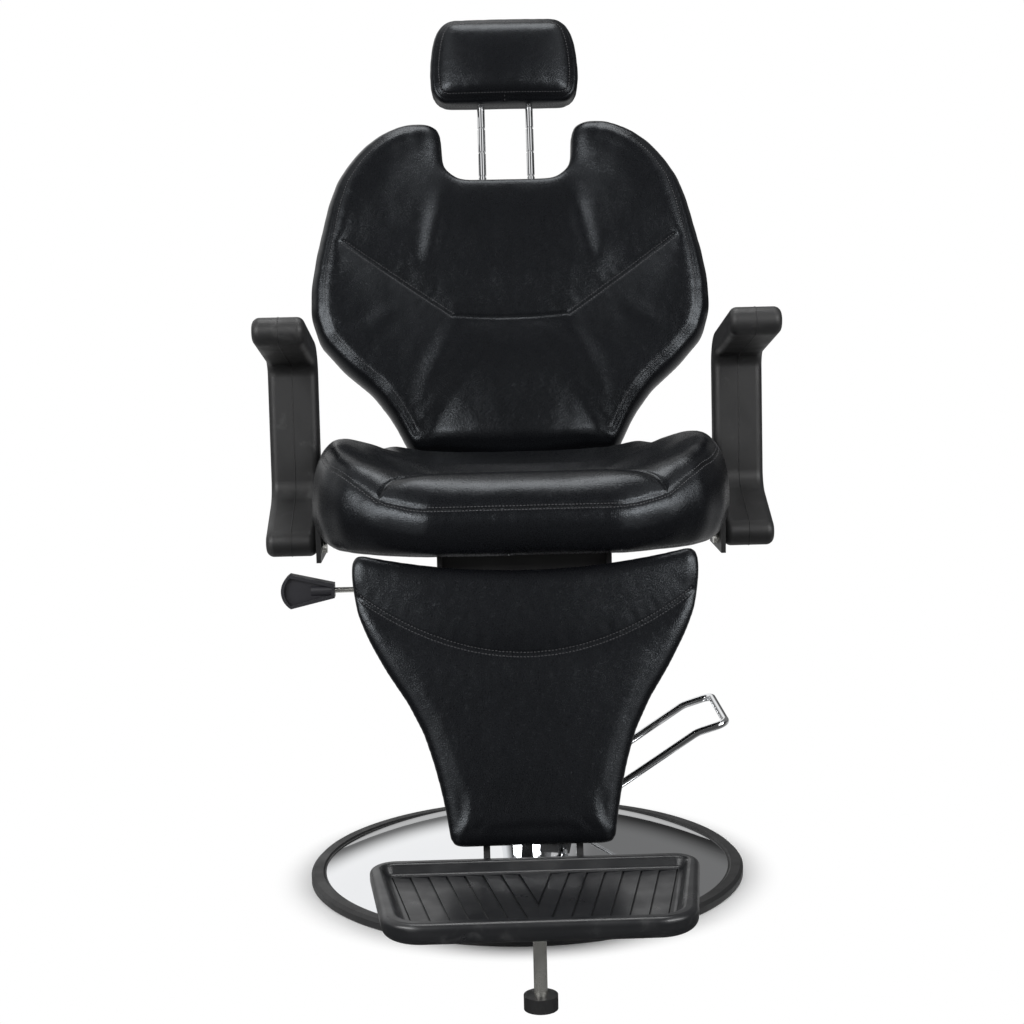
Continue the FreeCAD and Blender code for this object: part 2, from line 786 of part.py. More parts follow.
# Recline lever: bracket under the rail, pin, rod and a flat knob with a hollow face
lever_z = gas_z + recline_rise
lever_x = -(rail_outer + recline_out)
lever_hub_radius = 2 * lever_pin_radius
ear_out = ear_gap + ear_thick
ears = []
for y in (gas_front - ear_out, gas_front + ear_gap):
    low = lever_z - 1.2 * ear_gap
    ears.append(box(lever_x - ear_gap, lever_x + ear_gap, y, y + ear_thick, low, rail_bottom))
ear_top = box(lever_x - ear_gap, -rail_inner + 1.2 * ear_gap, gas_front - ear_out, gas_front + ear_out,
              rail_bottom - ear_thick, rail_bottom)


def lever_pin(radius, half):
    return rod(V(lever_x, gas_front - half, lever_z), Y, radius, 2 * half)


parts["lever_bracket"] = join(ears + [ear_top]).cut(lever_pin(lever_pin_radius, ear_out))
parts["lever_pivot_pin"] = lever_pin(lever_pin_radius, ear_out + 2 * side_gap)
knob_neck = -knob_tip + knob_length
rod_tip = knob_neck - 0.6 * knob_socket
rod_inner_end = gas_x + lever_hub_radius
lever_bar = rod(V(rod_tip, gas_front, lever_z), X, recline_rod_radius, rod_inner_end - rod_tip)
lever_hub = lever_pin(lever_hub_radius, ear_gap - side_gap)
parts["recline_rod"] = join([lever_bar, lever_hub]).cut(lever_pin(lever_pin_radius + running_fit, ear_out))


def knob_outline(grow, y):
    # A flat fan that widens from the neck and ends in an arc
    neck = V(knob_neck + grow, y, lever_z)
    shoulder_x = knob_neck - knob_wide_at
    small = Z * (knob_neck_half + grow)
    wide = Z * (knob_wide_half + grow)
    spread = V(shoulder_x, y, lever_z)
    edges = [line(neck - small, neck + small), line(neck + small, spread + wide),
             arc(spread + wide, V(-knob_tip - grow, y, lever_z), spread - wide),
             line(spread - wide, neck - small)]
    return Part.Face(Part.Wire(edges))


knob_face = gas_front - knob_thick / 2
knob_body = knob_outline(0, knob_face).extrude(Y * knob_thick)
knob_dish = knob_outline(-knob_wall, knob_face).extrude(Y * knob_hollow)
socket_radius = recline_rod_radius + knob_wall
socket_boss = rod(V(knob_neck, gas_front, lever_z), -X, socket_radius, knob_socket)
knob_bore = rod(V(rod_tip, gas_front, lever_z), X, recline_rod_radius, knob_socket)
parts["recline_knob"] = join([knob_body.cut(knob_dish), socket_boss]).cut(knob_bore)

# Backrest frame: tube on the hinge, two bars up the back, cranks for the link and the gas spring


def on_back(shape):
    return lean(shape, back_lean, back_y, back_z)


bar_out = rail_inner - link_inset - side_gap
bar_in = bar_out - back_bar_width
hinge_height = (back_hinge_y - back_y) * math.sin(math.radians(back_lean))
hinge_height += (back_hinge_z - back_z) * math.cos(math.radians(back_lean))
bars = []
for x in (-bar_out, bar_in):
    bar = box(x, x + back_bar_width, back_rear, back_rear + back_bar_thick, hinge_height, back_bar_top)
    bars.append(on_back(bar))
back_hinge = (back_hinge_y, back_hinge_z)
link_crank = strap(link_rear, back_hinge, link_crank_half, crank_x, crank_thick)
gas_arm = strap((gas_pin_y, gas_pin_z), back_hinge, fork_half, gas_x - crank_thick / 2, crank_thick)
torque_tube = cross_rod(tube_half, back_hinge_y, back_hinge_z, torque_radius)
back_screw_x = (bar_in + bar_out) / 2
back_screw_spots = []
for x in (-back_screw_x, back_screw_x):
    for h in (back_screw_low, back_bar_top - back_screw_high):
        back_screw_spots.append((x, h))
back_screw_holes = []
back_screws = []
for x, h in back_screw_spots:
    start = V(x, back_rear + back_bar_thick, h)
    hole = rod(start, -Y, screw_radius + bolt_clearance, back_bar_thick)
    back_screw_holes.append(on_back(hole))
    back_screws.append(on_back(pan_screw(start, -Y, back_bar_thick + screw_depth)))
crank_pin = rod(V(crank_x, link_rear[0], link_rear[1]), X, pin_radius, crank_thick)
gas_pin_half = fork_out + side_gap
gas_pin = rod(V(gas_x - gas_pin_half, gas_pin_y, gas_pin_z), X, pin_radius, 2 * gas_pin_half)
hinge_bore = cross_rod(tube_half, back_hinge_y, back_hinge_z, hinge_radius + running_fit)
back_frame = join(bars + [torque_tube, link_crank, gas_arm])
parts["back_frame"] = back_frame.cut(back_screw_holes + [hinge_bore, crank_pin, gas_pin])
parts["gas_pin"] = gas_pin
parts["back_screws"] = Part.makeCompound(back_screws)
link_pin_length = crank_thick + side_gap + link_thick + 2 * side_gap
parts["link_pin_rear"] = rod(V(crank_x, link_rear[0], link_rear[1]), X, pin_radius, link_pin_length)

# Backrest cushion and board: shares of the height and of the half width
back_outline = [(0.0, 0.505), (0.16, 0.67), (0.327, 0.952), (0.442, 1.0), (0.73, 0.911), (0.803, 0.873),
                (0.914, 0.746), (0.982, 0.591), (1.0, 0.495)]
back_top = back_low + back_height


def back_width(t):
    return back_half * smooth(back_outline, t)


def back_section(t):
    h = back_low + t * back_height
    half = back_width(t)
    thin = (back_full - back_thin) * rounding(min(h - back_low, back_top - h), back_roll)
    face = thin - back_full
    return pad_section(half, half - back_depth / 2, half - back_edge, back_depth, back_side, face,
                       face + back_dish, lambda a, b: V(a, b, h))


def notch(grow):
    # The opening for the headrest rods, with its two upper corners rounded over
    half = notch_half + grow
    low = notch_bottom - grow
    reach = 4 * back_depth
    r = shoulder_round
    middle = rounded_plate(V(0, -reach, low + reach), half, reach, notch_round, Y * (2 * reach))
    pieces = [middle]
    for side in (-1, 1):
        near, far = sorted((side * half, side * (half + r)))
        square = box(near, far, -reach, reach, back_top - r, back_top + r)
        pieces.append(square.cut(rod(V(side * (half + r), -reach, back_top - r), Y, r, 2 * reach)))
    return join(pieces)


guide_radius = head_rod_radius + guide_wall
guide_top = notch_bottom - guide_sink
guide_low = guide_top - guide_length
guide_spots = [V(x, guide_depth, guide_low) for x in (-guide_x, guide_x)]
guide_holes = [rod(p, Z, guide_radius + running_fit, 2 * guide_length) for p in guide_spots]
back_form = loft([back_section(t) for t in stations(18)])
parts["back_cushion"] = on_back(back_form.cut([notch(0.0)] + guide_holes))
guides = [sleeve(p, Z, guide_radius, head_rod_radius + running_fit, guide_length) for p in guide_spots]
parts["headrest_guides"] = on_back(Part.makeCompound(guides))
right_edge = []
left_edge = []
for t in stations(18):
    h = back_low + t * back_height
    if board_inset / 2 < h - back_low and board_inset / 2 < back_top - h:
        right_edge.append(V(back_width(t) - board_inset, back_depth, h))
        left_edge.append(V(board_inset - back_width(t), back_depth, h))
back_board = prism(right_edge + left_edge[::-1], Y * panel)
board_holes = [rod(V(x, back_rear, h), -Y, screw_radius, screw_depth) for x, h in back_screw_spots]
parts["back_board"] = on_back(back_board.cut([notch(board_inset)] + board_holes))

# Headrest: grooved rods, board and cushion
head_high = head_low + head_height
rod_low = guide_top - head_rod_engaged
rod_top = head_high - head_height / 3
head_rods = []
for x in (-guide_x, guide_x):
    bar = rod(V(x, guide_depth, rod_low), Z, head_rod_radius, rod_top - rod_low)
    rings = []
    for k in range(-3, 2):
        z = notch_bottom + groove_first + k * groove_pitch - groove_height / 2
        groove_radius = head_rod_radius - head_rod_groove
        rings.append(sleeve(V(x, guide_depth, z), Z, 2 * head_rod_radius, groove_radius, groove_height))
    head_rods.append(bar.cut(rings))
parts["headrest_rods"] = on_back(Part.makeCompound(head_rods))
head_outline = [(0.0, 0.8), (0.04, 0.907), (0.143, 0.981), (0.333, 1.0), (0.635, 0.972), (0.841, 0.916),
                (0.952, 0.832), (1.0, 0.729)]


def head_section(t):
    h = head_low + t * head_height
    half = head_half * smooth(head_outline, t)
    share = 1 - 0.65 * rounding(min(h - head_low, head_high - h), head_roll)
    face = -head_full * share
    return pad_section(half, half - head_back / 3, half - head_crown, head_back, head_side, face,
                       face - head_crown * share, lambda a, b: V(a, b, h))


rod_spots = [V(x, guide_depth, rod_low) for x in (-guide_x, guide_x)]
rod_holes = [rod(p, Z, head_rod_radius, rod_top - rod_low) for p in rod_spots]
parts["headrest_cushion"] = on_back(loft([head_section(t) for t in stations(10)]).cut(rod_holes))
head_middle = V(0, head_back, head_low + head_height / 2)
head_board = rounded_plate(head_middle, 0.78 * head_half, 0.4 * head_height, head_back / 2, Y * head_panel)
parts["headrest_board"] = on_back(head_board)

# Link from the backrest crank to the legrest crank
link = strap(link_front, link_rear, link_half, link_x, link_thick)
front_hole = rod(V(link_x, link_front[0], link_front[1]), X, pin_radius + open_pivot, link_thick)
rear_hole = rod(V(link_x, link_rear[0], link_rear[1]), X, pin_radius + running_fit, link_thick)
parts["recline_link"] = link.cut([front_hole, rear_hole])
parts["link_pin_front"] = rod(V(crank_x, link_front[0], link_front[1]), X, pin_radius, link_pin_length)

# Legrest frame: tube on the hinge, two bars down the back that turn forward under the tray


def on_leg(shape):
    return lean(shape, leg_lean, leg_y, leg_z)


leg_rear = leg_pad + leg_panel
leg_tilt = math.radians(leg_lean)
tray_top = leg_z - leg_length * math.cos(leg_tilt) - tray_drop
tray_low = tray_top - tray_height
tray_back = leg_y + (leg_rear - (leg_z - tray_top) * math.sin(leg_tilt)) / math.cos(leg_tilt) - tray_gap
tray_middle = tray_back - tray_depth / 2
support_y = tray_back - support_reach
bar_middle = leg_rear + leg_bar / 2
turn_z = tray_low - leg_bar / 2
turn_drop = (leg_z - bar_middle * math.sin(leg_tilt) - turn_z) / math.cos(leg_tilt)
bar_path = [lean_point(bar_middle, -leg_hinge_drop, leg_lean, leg_y, leg_z),
            lean_point(bar_middle, -turn_drop, leg_lean, leg_y, leg_z), (support_y - tray_gap, turn_z)]
bars = []
for x in (-leg_bar_x, leg_bar_x):
    bars.append(band(bar_path, [leg_bar_round], leg_bar / 2, x - leg_bar_width / 2, leg_bar_width))
leg_tube = cross_rod(tube_half, leg_hinge_y, leg_hinge_z, leg_hinge_radius + leg_tube_wall)
leg_crank = strap(link_front, (leg_hinge_y, leg_hinge_z), 2 * pin_radius, crank_x, crank_thick)
strap_half = leg_bar_x + strap_reach
leg_strap = on_leg(box(-strap_half, strap_half, leg_rear, leg_rear + strap_thick,
                       -strap_drop - strap_half_height, strap_half_height - strap_drop))
support_bar = box(-leg_bar_x, leg_bar_x, support_y - support_bar_half, support_y + support_bar_half,
                  tray_low - leg_bar, tray_low)
tray_bolt_spots = []
for x in (-leg_bar_x, leg_bar_x):
    for y in (tray_back - tray_bolt_back, support_y + tray_bolt_front):
        tray_bolt_spots.append(V(x, y, tray_low - leg_bar))
leg_screw_x = strap_half - strap_screw_inset
leg_screw_spots = [V(x, leg_rear + strap_thick, -strap_drop) for x in (-leg_screw_x, leg_screw_x)]
screw_grip = strap_thick + leg_panel - side_gap
leg_bore = cross_rod(tube_half, leg_hinge_y, leg_hinge_z, leg_hinge_radius + running_fit)
leg_holes = [leg_bore, rod(V(crank_x, link_front[0], link_front[1]), X, pin_radius, crank_thick)]
leg_holes.append(rod(V(0, support_y, tray_low - leg_bar), Z, support_radius, leg_bar))
leg_holes += [rod(p, Z, screw_radius + bolt_clearance, leg_bar) for p in tray_bolt_spots]
leg_holes += [on_leg(rod(p, -Y, screw_radius + bolt_clearance, strap_thick)) for p in leg_screw_spots]
parts["leg_frame"] = join(bars + [leg_tube, leg_crank, leg_strap, support_bar]).cut(leg_holes)

# Legrest pad and board: shares of the length from the top and of the half width
leg_outline = [(0.0, 0.985), (0.04, 1.0), (0.134, 0.99), (0.313, 0.874), (0.595, 0.607), (0.848, 0.49),
               (1.0, 0.45)]


def leg_width(t):
    return leg_half * smooth(leg_outline, t)


def leg_section(t):
    h = -leg_length * t
    half = leg_width(t)
    face = leg_face + leg_top_round * rounding(-h, leg_roll)
    face += leg_low_round * rounding(leg_length + h, leg_roll)
    side = (leg_pad + face) / 2 + leg_edge
    return pad_section(half, half - leg_pad / 4, half - leg_pad / 3, leg_pad, side, face + leg_edge,
                       max(0.0, face - leg_face), lambda a, b: V(a, b, h))


dip_radius = (leg_half ** 2 + leg_dip ** 2) / (2 * leg_dip)
dip = rod(V(0, -leg_pad, dip_radius - leg_dip), Y, dip_radius, 3 * leg_pad)
parts["leg_cushion"] = on_leg(loft([leg_section(t) for t in stations(14)]).cut(dip))
right_edge = []
left_edge = []
board_high = leg_dip + leg_board_drop
board_span = leg_length - leg_board_inset - board_high
for t in stations(12):
    drop = board_high + board_span * t
    half = leg_width(drop / leg_length) - leg_board_inset
    right_edge.append(V(half, leg_pad, -drop))
    left_edge.append(V(-half, leg_pad, -drop))
leg_board = prism(right_edge + left_edge[::-1], Y * leg_panel)
board_holes = [rod(p, -Y, screw_radius, screw_grip) for p in leg_screw_spots]
parts["leg_board"] = on_leg(leg_board.cut(board_holes))
parts["leg_screws"] = on_leg(Part.makeCompound([pan_screw(p, -Y, screw_grip) for p in leg_screw_spots]))

# Footrest tray with a rolled rim, and slanted tread bands that step down towards a V in the middle


def tray_wire(inset, z):
    # A rounded trapezium, narrower at the front
    half_depth = tray_depth / 2 - inset
    back = tray_half - inset
    front = tray_front_half - inset
    points = [V(-front, tray_middle - half_depth, z), V(front, tray_middle - half_depth, z),
              V(back, tray_middle + half_depth, z), V(-back, tray_middle + half_depth, z)]
    front_round = tray_front_round - inset
    back_round = tray_back_round - inset
    return closed_path(points, [front_round, front_round, back_round, back_round])


def edges_on(shape, wire):
    # The level edges of a shape that lie on a wire
    level = [e for e in shape.Edges if e.BoundBox.ZLength < running_fit]
    return [e for e in level if wire.distToShape(e)[0] < running_fit]


floor_inset = tray_rim + tray_slope
floor_z = tray_low + tray_floor
floor_wire = tray_wire(floor_inset, floor_z)
lip_wire = tray_wire(tray_rim, tray_top)
hollow = loft([floor_wire, lip_wire])
hollow = hollow.makeFillet(tray_heel, edges_on(hollow, floor_wire))
tray = Part.Face(tray_wire(0.0, tray_low)).extrude(Z * tray_height).cut(hollow)
tray = tray.makeFillet(tray_lip, edges_on(tray, lip_wire))
for z, size in ((tray_low, tray_base_round), (tray_top, tray_edge)):
    tray = tray.makeFillet(size, edges_on(tray, tray_wire(0.0, z)))
tread_inset = floor_inset + tray_heel
tread_area = Part.Face(tray_wire(tread_inset, floor_z - tread_deep)).extrude(Z * tread_deep)
treads = []
band_count = int((tray_half - tread_inset - tread_start) / tread_pitch) + 1
for side in (-1, 1):
    near, far = sorted((0.0, side * tray_half))
    half_area = tread_area.common(box(near, far, tray_back - tray_depth, tray_back, tray_low, tray_top))
    bands = []
    for k in range(band_count):
        x = side * (tread_start + tread_pitch * k)
        end = x + side * tread_pitch
        start_y = -tray_depth
        step = [V(x, start_y, floor_z), V(x, start_y, floor_z - tread_step), V(end, start_y, floor_z)]
        wedge = prism(step, Y * (2 * tray_depth))
        groove = box(x - tread_groove / 2, x + tread_groove / 2, -tray_depth, tray_depth,
                     floor_z - tread_deep, floor_z)
        for cutter in (wedge, groove):
            cutter.rotate(V(x, 0, 0), Z, -side * tread_angle)
            cutter.translate(Y * tray_middle)
            bands.append(cutter)
    treads.append(half_area.common(join(bands)))
tray_grip = leg_bar + tray_floor - 2 * tread_deep
tray_holes = [rod(p, Z, screw_radius, tray_grip) for p in tray_bolt_spots]
parts["footrest_tray"] = tray.cut(treads + tray_holes)
parts["tray_bolts"] = Part.makeCompound([hex_bolt(p, Z, screw_radius, tray_grip) for p in tray_bolt_spots])

# Support rod under the tray with its nut and rubber foot
rod_foot = foot_low + foot_height / 2
support_rod = rod(V(0, support_y, rod_foot), Z, support_radius, tray_low - rod_foot)
nut_height = support_radius
nut = hexagon(V(0, support_y, tray_low - leg_bar - nut_height), Z, 3.2 * support_radius, nut_height)
parts["support_rod"] = support_rod
parts["support_nut"] = nut.cut(support_rod)
parts["support_foot"] = rod(V(0, support_y, foot_low), Z, foot_radius, foot_height).cut(support_rod)

os.makedirs("parts", exist_ok=True)
for name, shape in parts.items():
    shape.exportStep("parts/" + name + ".step")
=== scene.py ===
"""Barber chair: leather cushions, stitches, finishes and studio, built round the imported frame."""

import logging
import math
from dataclasses import dataclass, field
from enum import Enum

import bmesh
import bpy
import numpy as np
from mathutils import Matrix, Vector, kdtree, noise
from mathutils.bvhtree import BVHTree


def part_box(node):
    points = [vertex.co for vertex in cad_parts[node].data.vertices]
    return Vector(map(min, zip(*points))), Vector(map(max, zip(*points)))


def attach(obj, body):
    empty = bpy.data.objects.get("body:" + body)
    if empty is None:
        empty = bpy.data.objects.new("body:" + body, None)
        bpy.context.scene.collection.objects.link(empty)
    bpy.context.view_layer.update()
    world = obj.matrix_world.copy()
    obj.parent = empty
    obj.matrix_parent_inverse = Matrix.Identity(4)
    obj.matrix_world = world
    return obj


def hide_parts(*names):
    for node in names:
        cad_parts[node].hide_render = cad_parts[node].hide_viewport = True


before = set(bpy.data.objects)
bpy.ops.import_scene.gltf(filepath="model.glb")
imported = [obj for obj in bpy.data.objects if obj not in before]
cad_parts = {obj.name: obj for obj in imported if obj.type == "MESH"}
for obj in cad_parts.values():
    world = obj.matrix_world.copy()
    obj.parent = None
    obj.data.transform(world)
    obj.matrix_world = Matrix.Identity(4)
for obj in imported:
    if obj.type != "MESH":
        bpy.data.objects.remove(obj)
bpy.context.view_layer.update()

log = logging.getLogger("barber_chair")

Colour = tuple[float, float, float]
Place = tuple[float, float, float]
Span = tuple[float, float]

WHITE = (1.0, 1.0, 1.0, 1.0)
SEAM_STEP = 0.001
SWELL_FRAMES = 20
STITCH_SIZES = {"Pitch": 0.0042, "Length": 0.0032, "Width": 0.00115, "Height": 0.0010}
STUFFING = {"quality": 4, "mass": 0.3, "tension_stiffness": 22.0, "compression_stiffness": 22.0,
            "shear_stiffness": 9.0, "air_damping": 2.0, "use_pressure": True, "uniform_pressure_force": 4.0}


def ease(low: float, high: float, value: np.ndarray) -> np.ndarray:
    """Smooth step from 0 at low to 1 at high."""
    share = np.clip((value - low) / (high - low), 0.0, 1.0)
    return share * share * (3.0 - 2.0 * share)


def evaluated_mesh(obj: bpy.types.Object) -> bpy.types.Mesh:
    """A plain mesh of the object with its modifiers applied."""
    graph = bpy.context.evaluated_depsgraph_get()
    return bpy.data.meshes.new_from_object(obj.evaluated_get(graph))


def mesh_points(mesh: bpy.types.Mesh) -> np.ndarray:
    """A mesh's vertex places as rows of x, y, z.

    Args:
        mesh: The mesh that is read.

    Returns:
        One row for each vertex.
    """
    flat = np.empty(len(mesh.vertices) * 3)
    mesh.vertices.foreach_get("co", flat)
    return flat.reshape(-1, 3)


def set_points(mesh: bpy.types.Mesh, points: np.ndarray) -> None:
    """Moves a mesh's vertices to rows of x, y, z."""
    mesh.vertices.foreach_set("co", np.ascontiguousarray(points, dtype=np.float32).ravel())
    mesh.update()


def new_object(name: str, mesh: bpy.types.Mesh) -> bpy.types.Object:
    """Puts a mesh in the scene at the origin.

    Args:
        name: The new object's name.
        mesh: Its mesh.

    Returns:
        The new object.
    """
    obj = bpy.data.objects.new(name, mesh)
    bpy.context.scene.collection.objects.link(obj)
    return obj


class NodeSheet:
    """A node tree being drawn up, one line for each node."""

    def __init__(self, tree: bpy.types.NodeTree) -> None:
        """Keeps the tree that the nodes go into."""
        self.tree = tree

    def put(self, kind: str, inputs: dict | None = None, **settings: object) -> bpy.types.Node:
        """Adds a node, sets its options and feeds its inputs.

        Args:
            kind: The node's type name.
            inputs: Socket name or number to a value, or to the output that feeds it.
            settings: Options of the node itself.

        Returns:
            The new node.
        """
        node = self.tree.nodes.new(kind)
        for key, value in settings.items():
            setattr(node, key, value)
        for key, value in (inputs or {}).items():
            self.feed(node.inputs[key], value)
        return node

    def feed(self, socket: bpy.types.NodeSocket, value: object) -> None:
        """Links an output to a socket, or sets the socket's own value.

        Args:
            socket: The input that is fed.
            value: An output, or a plain value.
        """
        if isinstance(value, bpy.types.NodeSocket):
            self.tree.links.new(value, socket)
        else:
            socket.default_value = value

    def ramp(self, value: bpy.types.NodeSocket, span: Span, low: float = 0.0, high: float = 1.0,
             smooth: bool = True) -> bpy.types.NodeSocket:
        """Carries a value from one range to another.

        Args:
            value: The output that is carried over.
            span: The values that give low and high.
            low: The result at the span's start.
            high: The result at its end.
            smooth: Whether the change eases in and out.

        Returns:
            The result's output.
        """
        ends = {"From Min": span[0], "From Max": span[1], "To Min": low, "To Max": high}
        kind = "SMOOTHSTEP" if smooth else "LINEAR"
        node = self.put("ShaderNodeMapRange", {"Value": value, **ends}, interpolation_type=kind)
        return node.outputs["Result"]

    def combine(self, operation: str, *values: object) -> bpy.types.NodeSocket:
        """The result of one operation on one, two or three values."""
        return self.put("ShaderNodeMath", dict(enumerate(values)), operation=operation).outputs[0]

    def blend(self, share: bpy.types.NodeSocket, first: object, second: object) -> bpy.types.NodeSocket:
        """A colour between two, by a share."""
        return self.put("ShaderNodeMix", {"Factor": share, 6: first, 7: second}, data_type="RGBA").outputs[2]

    def cloud(self, where: bpy.types.NodeSocket, scale: float, detail: float,
              **more: float) -> bpy.types.NodeSocket:
        """A noise pattern.

        Args:
            where: The coordinates that it follows.
            scale: Its scale per metre.
            detail: How many finer layers it has.
            more: Other inputs of the noise by name.

        Returns:
            The pattern's value.
        """
        inputs = {"Vector": where, "Scale": scale, "Detail": detail, **more}
        return self.put("ShaderNodeTexNoise", inputs).outputs["Fac"]

    def mixed(self, share: bpy.types.NodeSocket, first: bpy.types.Node,
              second: bpy.types.Node) -> bpy.types.Node:
        """A shader between two, by a share."""
        return self.put("ShaderNodeMixShader", {0: share, 1: first.outputs[0], 2: second.outputs[0]})


@dataclass(frozen=True)
class Finish:
    """A surface finish with patches of a second colour, uneven gloss and a fine relief.

    Colours are linear. patch and grain are noise scales per metre, relief is the grain's height in metres.
    """

    name: str
    colour: Colour
    second: Colour
    gloss: Span
    metallic: float = 0.0
    patch: float = 9.0
    grain: float = 600.0
    relief: float = 0.00015
    bump: float = 0.6
    gloss_patch: float = 3.7
    gloss_span: Span = (0.3, 0.7)
    scuff: float = 0.0
    scuff_colour: Colour = (0.2, 0.2, 0.2)
    scuff_scale: float = 26.0
    scuff_span: Span = (0.56, 0.78)

    def material(self) -> bpy.types.Material:
        """The finish as a material, made once.

        Returns:
            The material.
        """
        made = bpy.data.materials.get(self.name)
        if made is None:
            made = bpy.data.materials.new(self.name)
            made.use_nodes = True
            sheet = NodeSheet(made.node_tree)
            self.draw(sheet, made.node_tree.nodes["Principled BSDF"])
        return made

    def draw(self, sheet: NodeSheet, shader: bpy.types.Node) -> None:
        """Draws the nodes that feed the shader.

        Args:
            sheet: The material's tree.
            shader: Its Principled shader.
        """
        where = sheet.put("ShaderNodeTexCoord").outputs["Object"]
        patches = sheet.cloud(where, self.patch, 6.0, Roughness=0.6)
        colour = sheet.blend(patches, (*self.colour, 1.0), (*self.second, 1.0))
        uneven = sheet.cloud(where, self.patch * self.gloss_patch, 5.0)
        gloss = sheet.ramp(uneven, self.gloss_span, *self.gloss, smooth=False)
        if self.scuff:
            colour = self.scuffed(sheet, where, colour)
        self.feed(sheet, shader, colour, gloss, sheet.cloud(where, self.grain, 3.0))

    def scuffed(self, sheet: NodeSheet, where: bpy.types.NodeSocket,
                colour: bpy.types.NodeSocket) -> bpy.types.NodeSocket:
        """Adds pale rubbed marks over a colour.

        Args:
            sheet: The material's tree.
            where: The coordinates that the marks follow.
            colour: The colour under them.

        Returns:
            The colour with the marks on it.
        """
        broad = sheet.cloud(where, self.scuff_scale, 9.0, Roughness=0.72, Distortion=0.8)
        mark = sheet.ramp(broad, self.scuff_span, 0.0, self.scuff, smooth=False)
        return sheet.blend(mark, colour, (*self.scuff_colour, 1.0))

    def feed(self, sheet: NodeSheet, shader: bpy.types.Node, colour: bpy.types.NodeSocket,
             gloss: bpy.types.NodeSocket, height: bpy.types.NodeSocket) -> None:
        """Feeds the shader.

        Args:
            sheet: The material's tree.
            shader: Its Principled shader.
            colour: What goes to its base colour.
            gloss: What goes to its roughness.
            height: What its relief follows.
        """
        bump = sheet.put("ShaderNodeBump", {"Height": height, "Strength": self.bump, "Distance": self.relief})
        sheet.feed(shader.inputs["Base Color"], colour)
        sheet.feed(shader.inputs["Roughness"], gloss)
        sheet.feed(shader.inputs["Normal"], bump.outputs["Normal"])
        shader.inputs["Metallic"].default_value = self.metallic


@dataclass(frozen=True)
class Leather(Finish):
    """Grained black leather, with creases and pebbles, and painted shade along each seam and crease: their
    lines are drawn darker, for the shade in their grooves.
    """

    bump: float = 0.55
    pebble: float = 430.0
    pebble_edge: float = 0.42
    pebble_warp: float = 0.012
    crease: float = 60.0
    crease_share: float = 1.0
    sheen_tint: Colour = (0.88, 0.94, 1.0)
    shine: float = 0.29
    # The seam fields below paint shade into the colour: darker towards each seam and crease line, for the
    # shade in their grooves.
    seam_name: str = "seam"
    seam_shade_width: float = 0.004
    seam_shade_tone: float = 0.35
    seam_shade_colour: Colour = (0.002, 0.002, 0.002)

    def draw(self, sheet: NodeSheet, shader: bpy.types.Node) -> None:
        """Draws the leather's nodes.

        Args:
            sheet: The material's tree.
            shader: Its Principled shader.
        """
        where = sheet.put("ShaderNodeTexCoord").outputs["Object"]
        warp = sheet.put("ShaderNodeTexNoise", {"Vector": where, "Scale": self.crease, "Detail": 2.0})
        bent = sheet.put("ShaderNodeMix", {"Factor": self.pebble_warp, 4: where, 5: warp.outputs["Color"]},
                         data_type="VECTOR").outputs[1]
        pebbles = sheet.put("ShaderNodeTexVoronoi", {"Vector": bent, "Scale": self.pebble},
                            feature="DISTANCE_TO_EDGE").outputs["Distance"]
        dome = sheet.ramp(pebbles, (0.0, self.pebble_edge))
        creases = sheet.cloud(where, self.crease, 3.0, Roughness=0.5, Distortion=0.3)
        height = sheet.combine("MULTIPLY_ADD", creases, self.crease_share, dome)
        # Painted shade: the colour darkens towards each seam and crease line, where their grooves are shaded.
        gap = sheet.put("ShaderNodeAttribute", attribute_name=self.seam_name).outputs["Fac"]
        near = sheet.ramp(gap, (0.0, self.seam_shade_width), self.seam_shade_tone)
        broad = sheet.cloud(where, self.patch, 6.0)
        tone = sheet.blend(broad, (*self.colour, 1.0), (*self.second, 1.0))
        colour = sheet.blend(near, (*self.seam_shade_colour, 1.0), tone)
        gloss = sheet.ramp(dome, (0.0, 1.0), self.gloss[1], self.gloss[0], smooth=False)
        self.feed(sheet, shader, colour, gloss, height)
        shader.inputs["Specular Tint"].default_value = (*self.sheen_tint, 1.0)
        shader.inputs["Specular IOR Level"].default_value = self.shine


LEATHER = Leather("black_leather", (0.0024, 0.0026, 0.0032), (0.0042, 0.0045, 0.0055), (0.20, 0.29),
                  patch=14.0, relief=0.00014)
THREAD = Finish("waxed_thread", (0.030, 0.030, 0.033), (0.060, 0.060, 0.065), (0.36, 0.50), grain=2600.0,
                relief=0.0002)
ARM_SKIN = Finish("moulded_arm_skin", (0.0060, 0.0060, 0.0064), (0.0120, 0.0120, 0.0124), (0.44, 0.60),
                  grain=900.0, relief=0.00012, scuff=0.16)
TREAD_RUBBER = Finish("tread_rubber", (0.0060, 0.0064, 0.0074), (0.0125, 0.0130, 0.0144), (0.27, 0.40),
                      grain=420.0, relief=0.00010, scuff=0.12)
RIM_RUBBER = Finish("rim_rubber", (0.0070, 0.0070, 0.0075), (0.0140, 0.0140, 0.0145), (0.46, 0.62),
                    grain=700.0, relief=0.00025, scuff=0.10)
CHROME = Finish("mirror_chrome", (0.80, 0.81, 0.83), (0.86, 0.87, 0.88), (0.025, 0.055), metallic=1.0,
                patch=3.0, grain=260.0, relief=0.000004)
BLACK_COAT = Finish("black_coat", (0.0105, 0.0105, 0.0110), (0.0170, 0.0170, 0.0175), (0.34, 0.48),
                    grain=520.0, relief=0.00012, scuff=0.06)
ZINC = Finish("zinc_plate", (0.80, 0.79, 0.74), (0.88, 0.87, 0.82), (0.12, 0.22), metallic=0.9, patch=30.0,
              grain=800.0, relief=0.00001)
KNOB_PLASTIC = Finish("knob_plastic", (0.0120, 0.0120, 0.0125), (0.0180, 0.0180, 0.0185), (0.32, 0.44),
                      grain=1100.0, relief=0.00008)
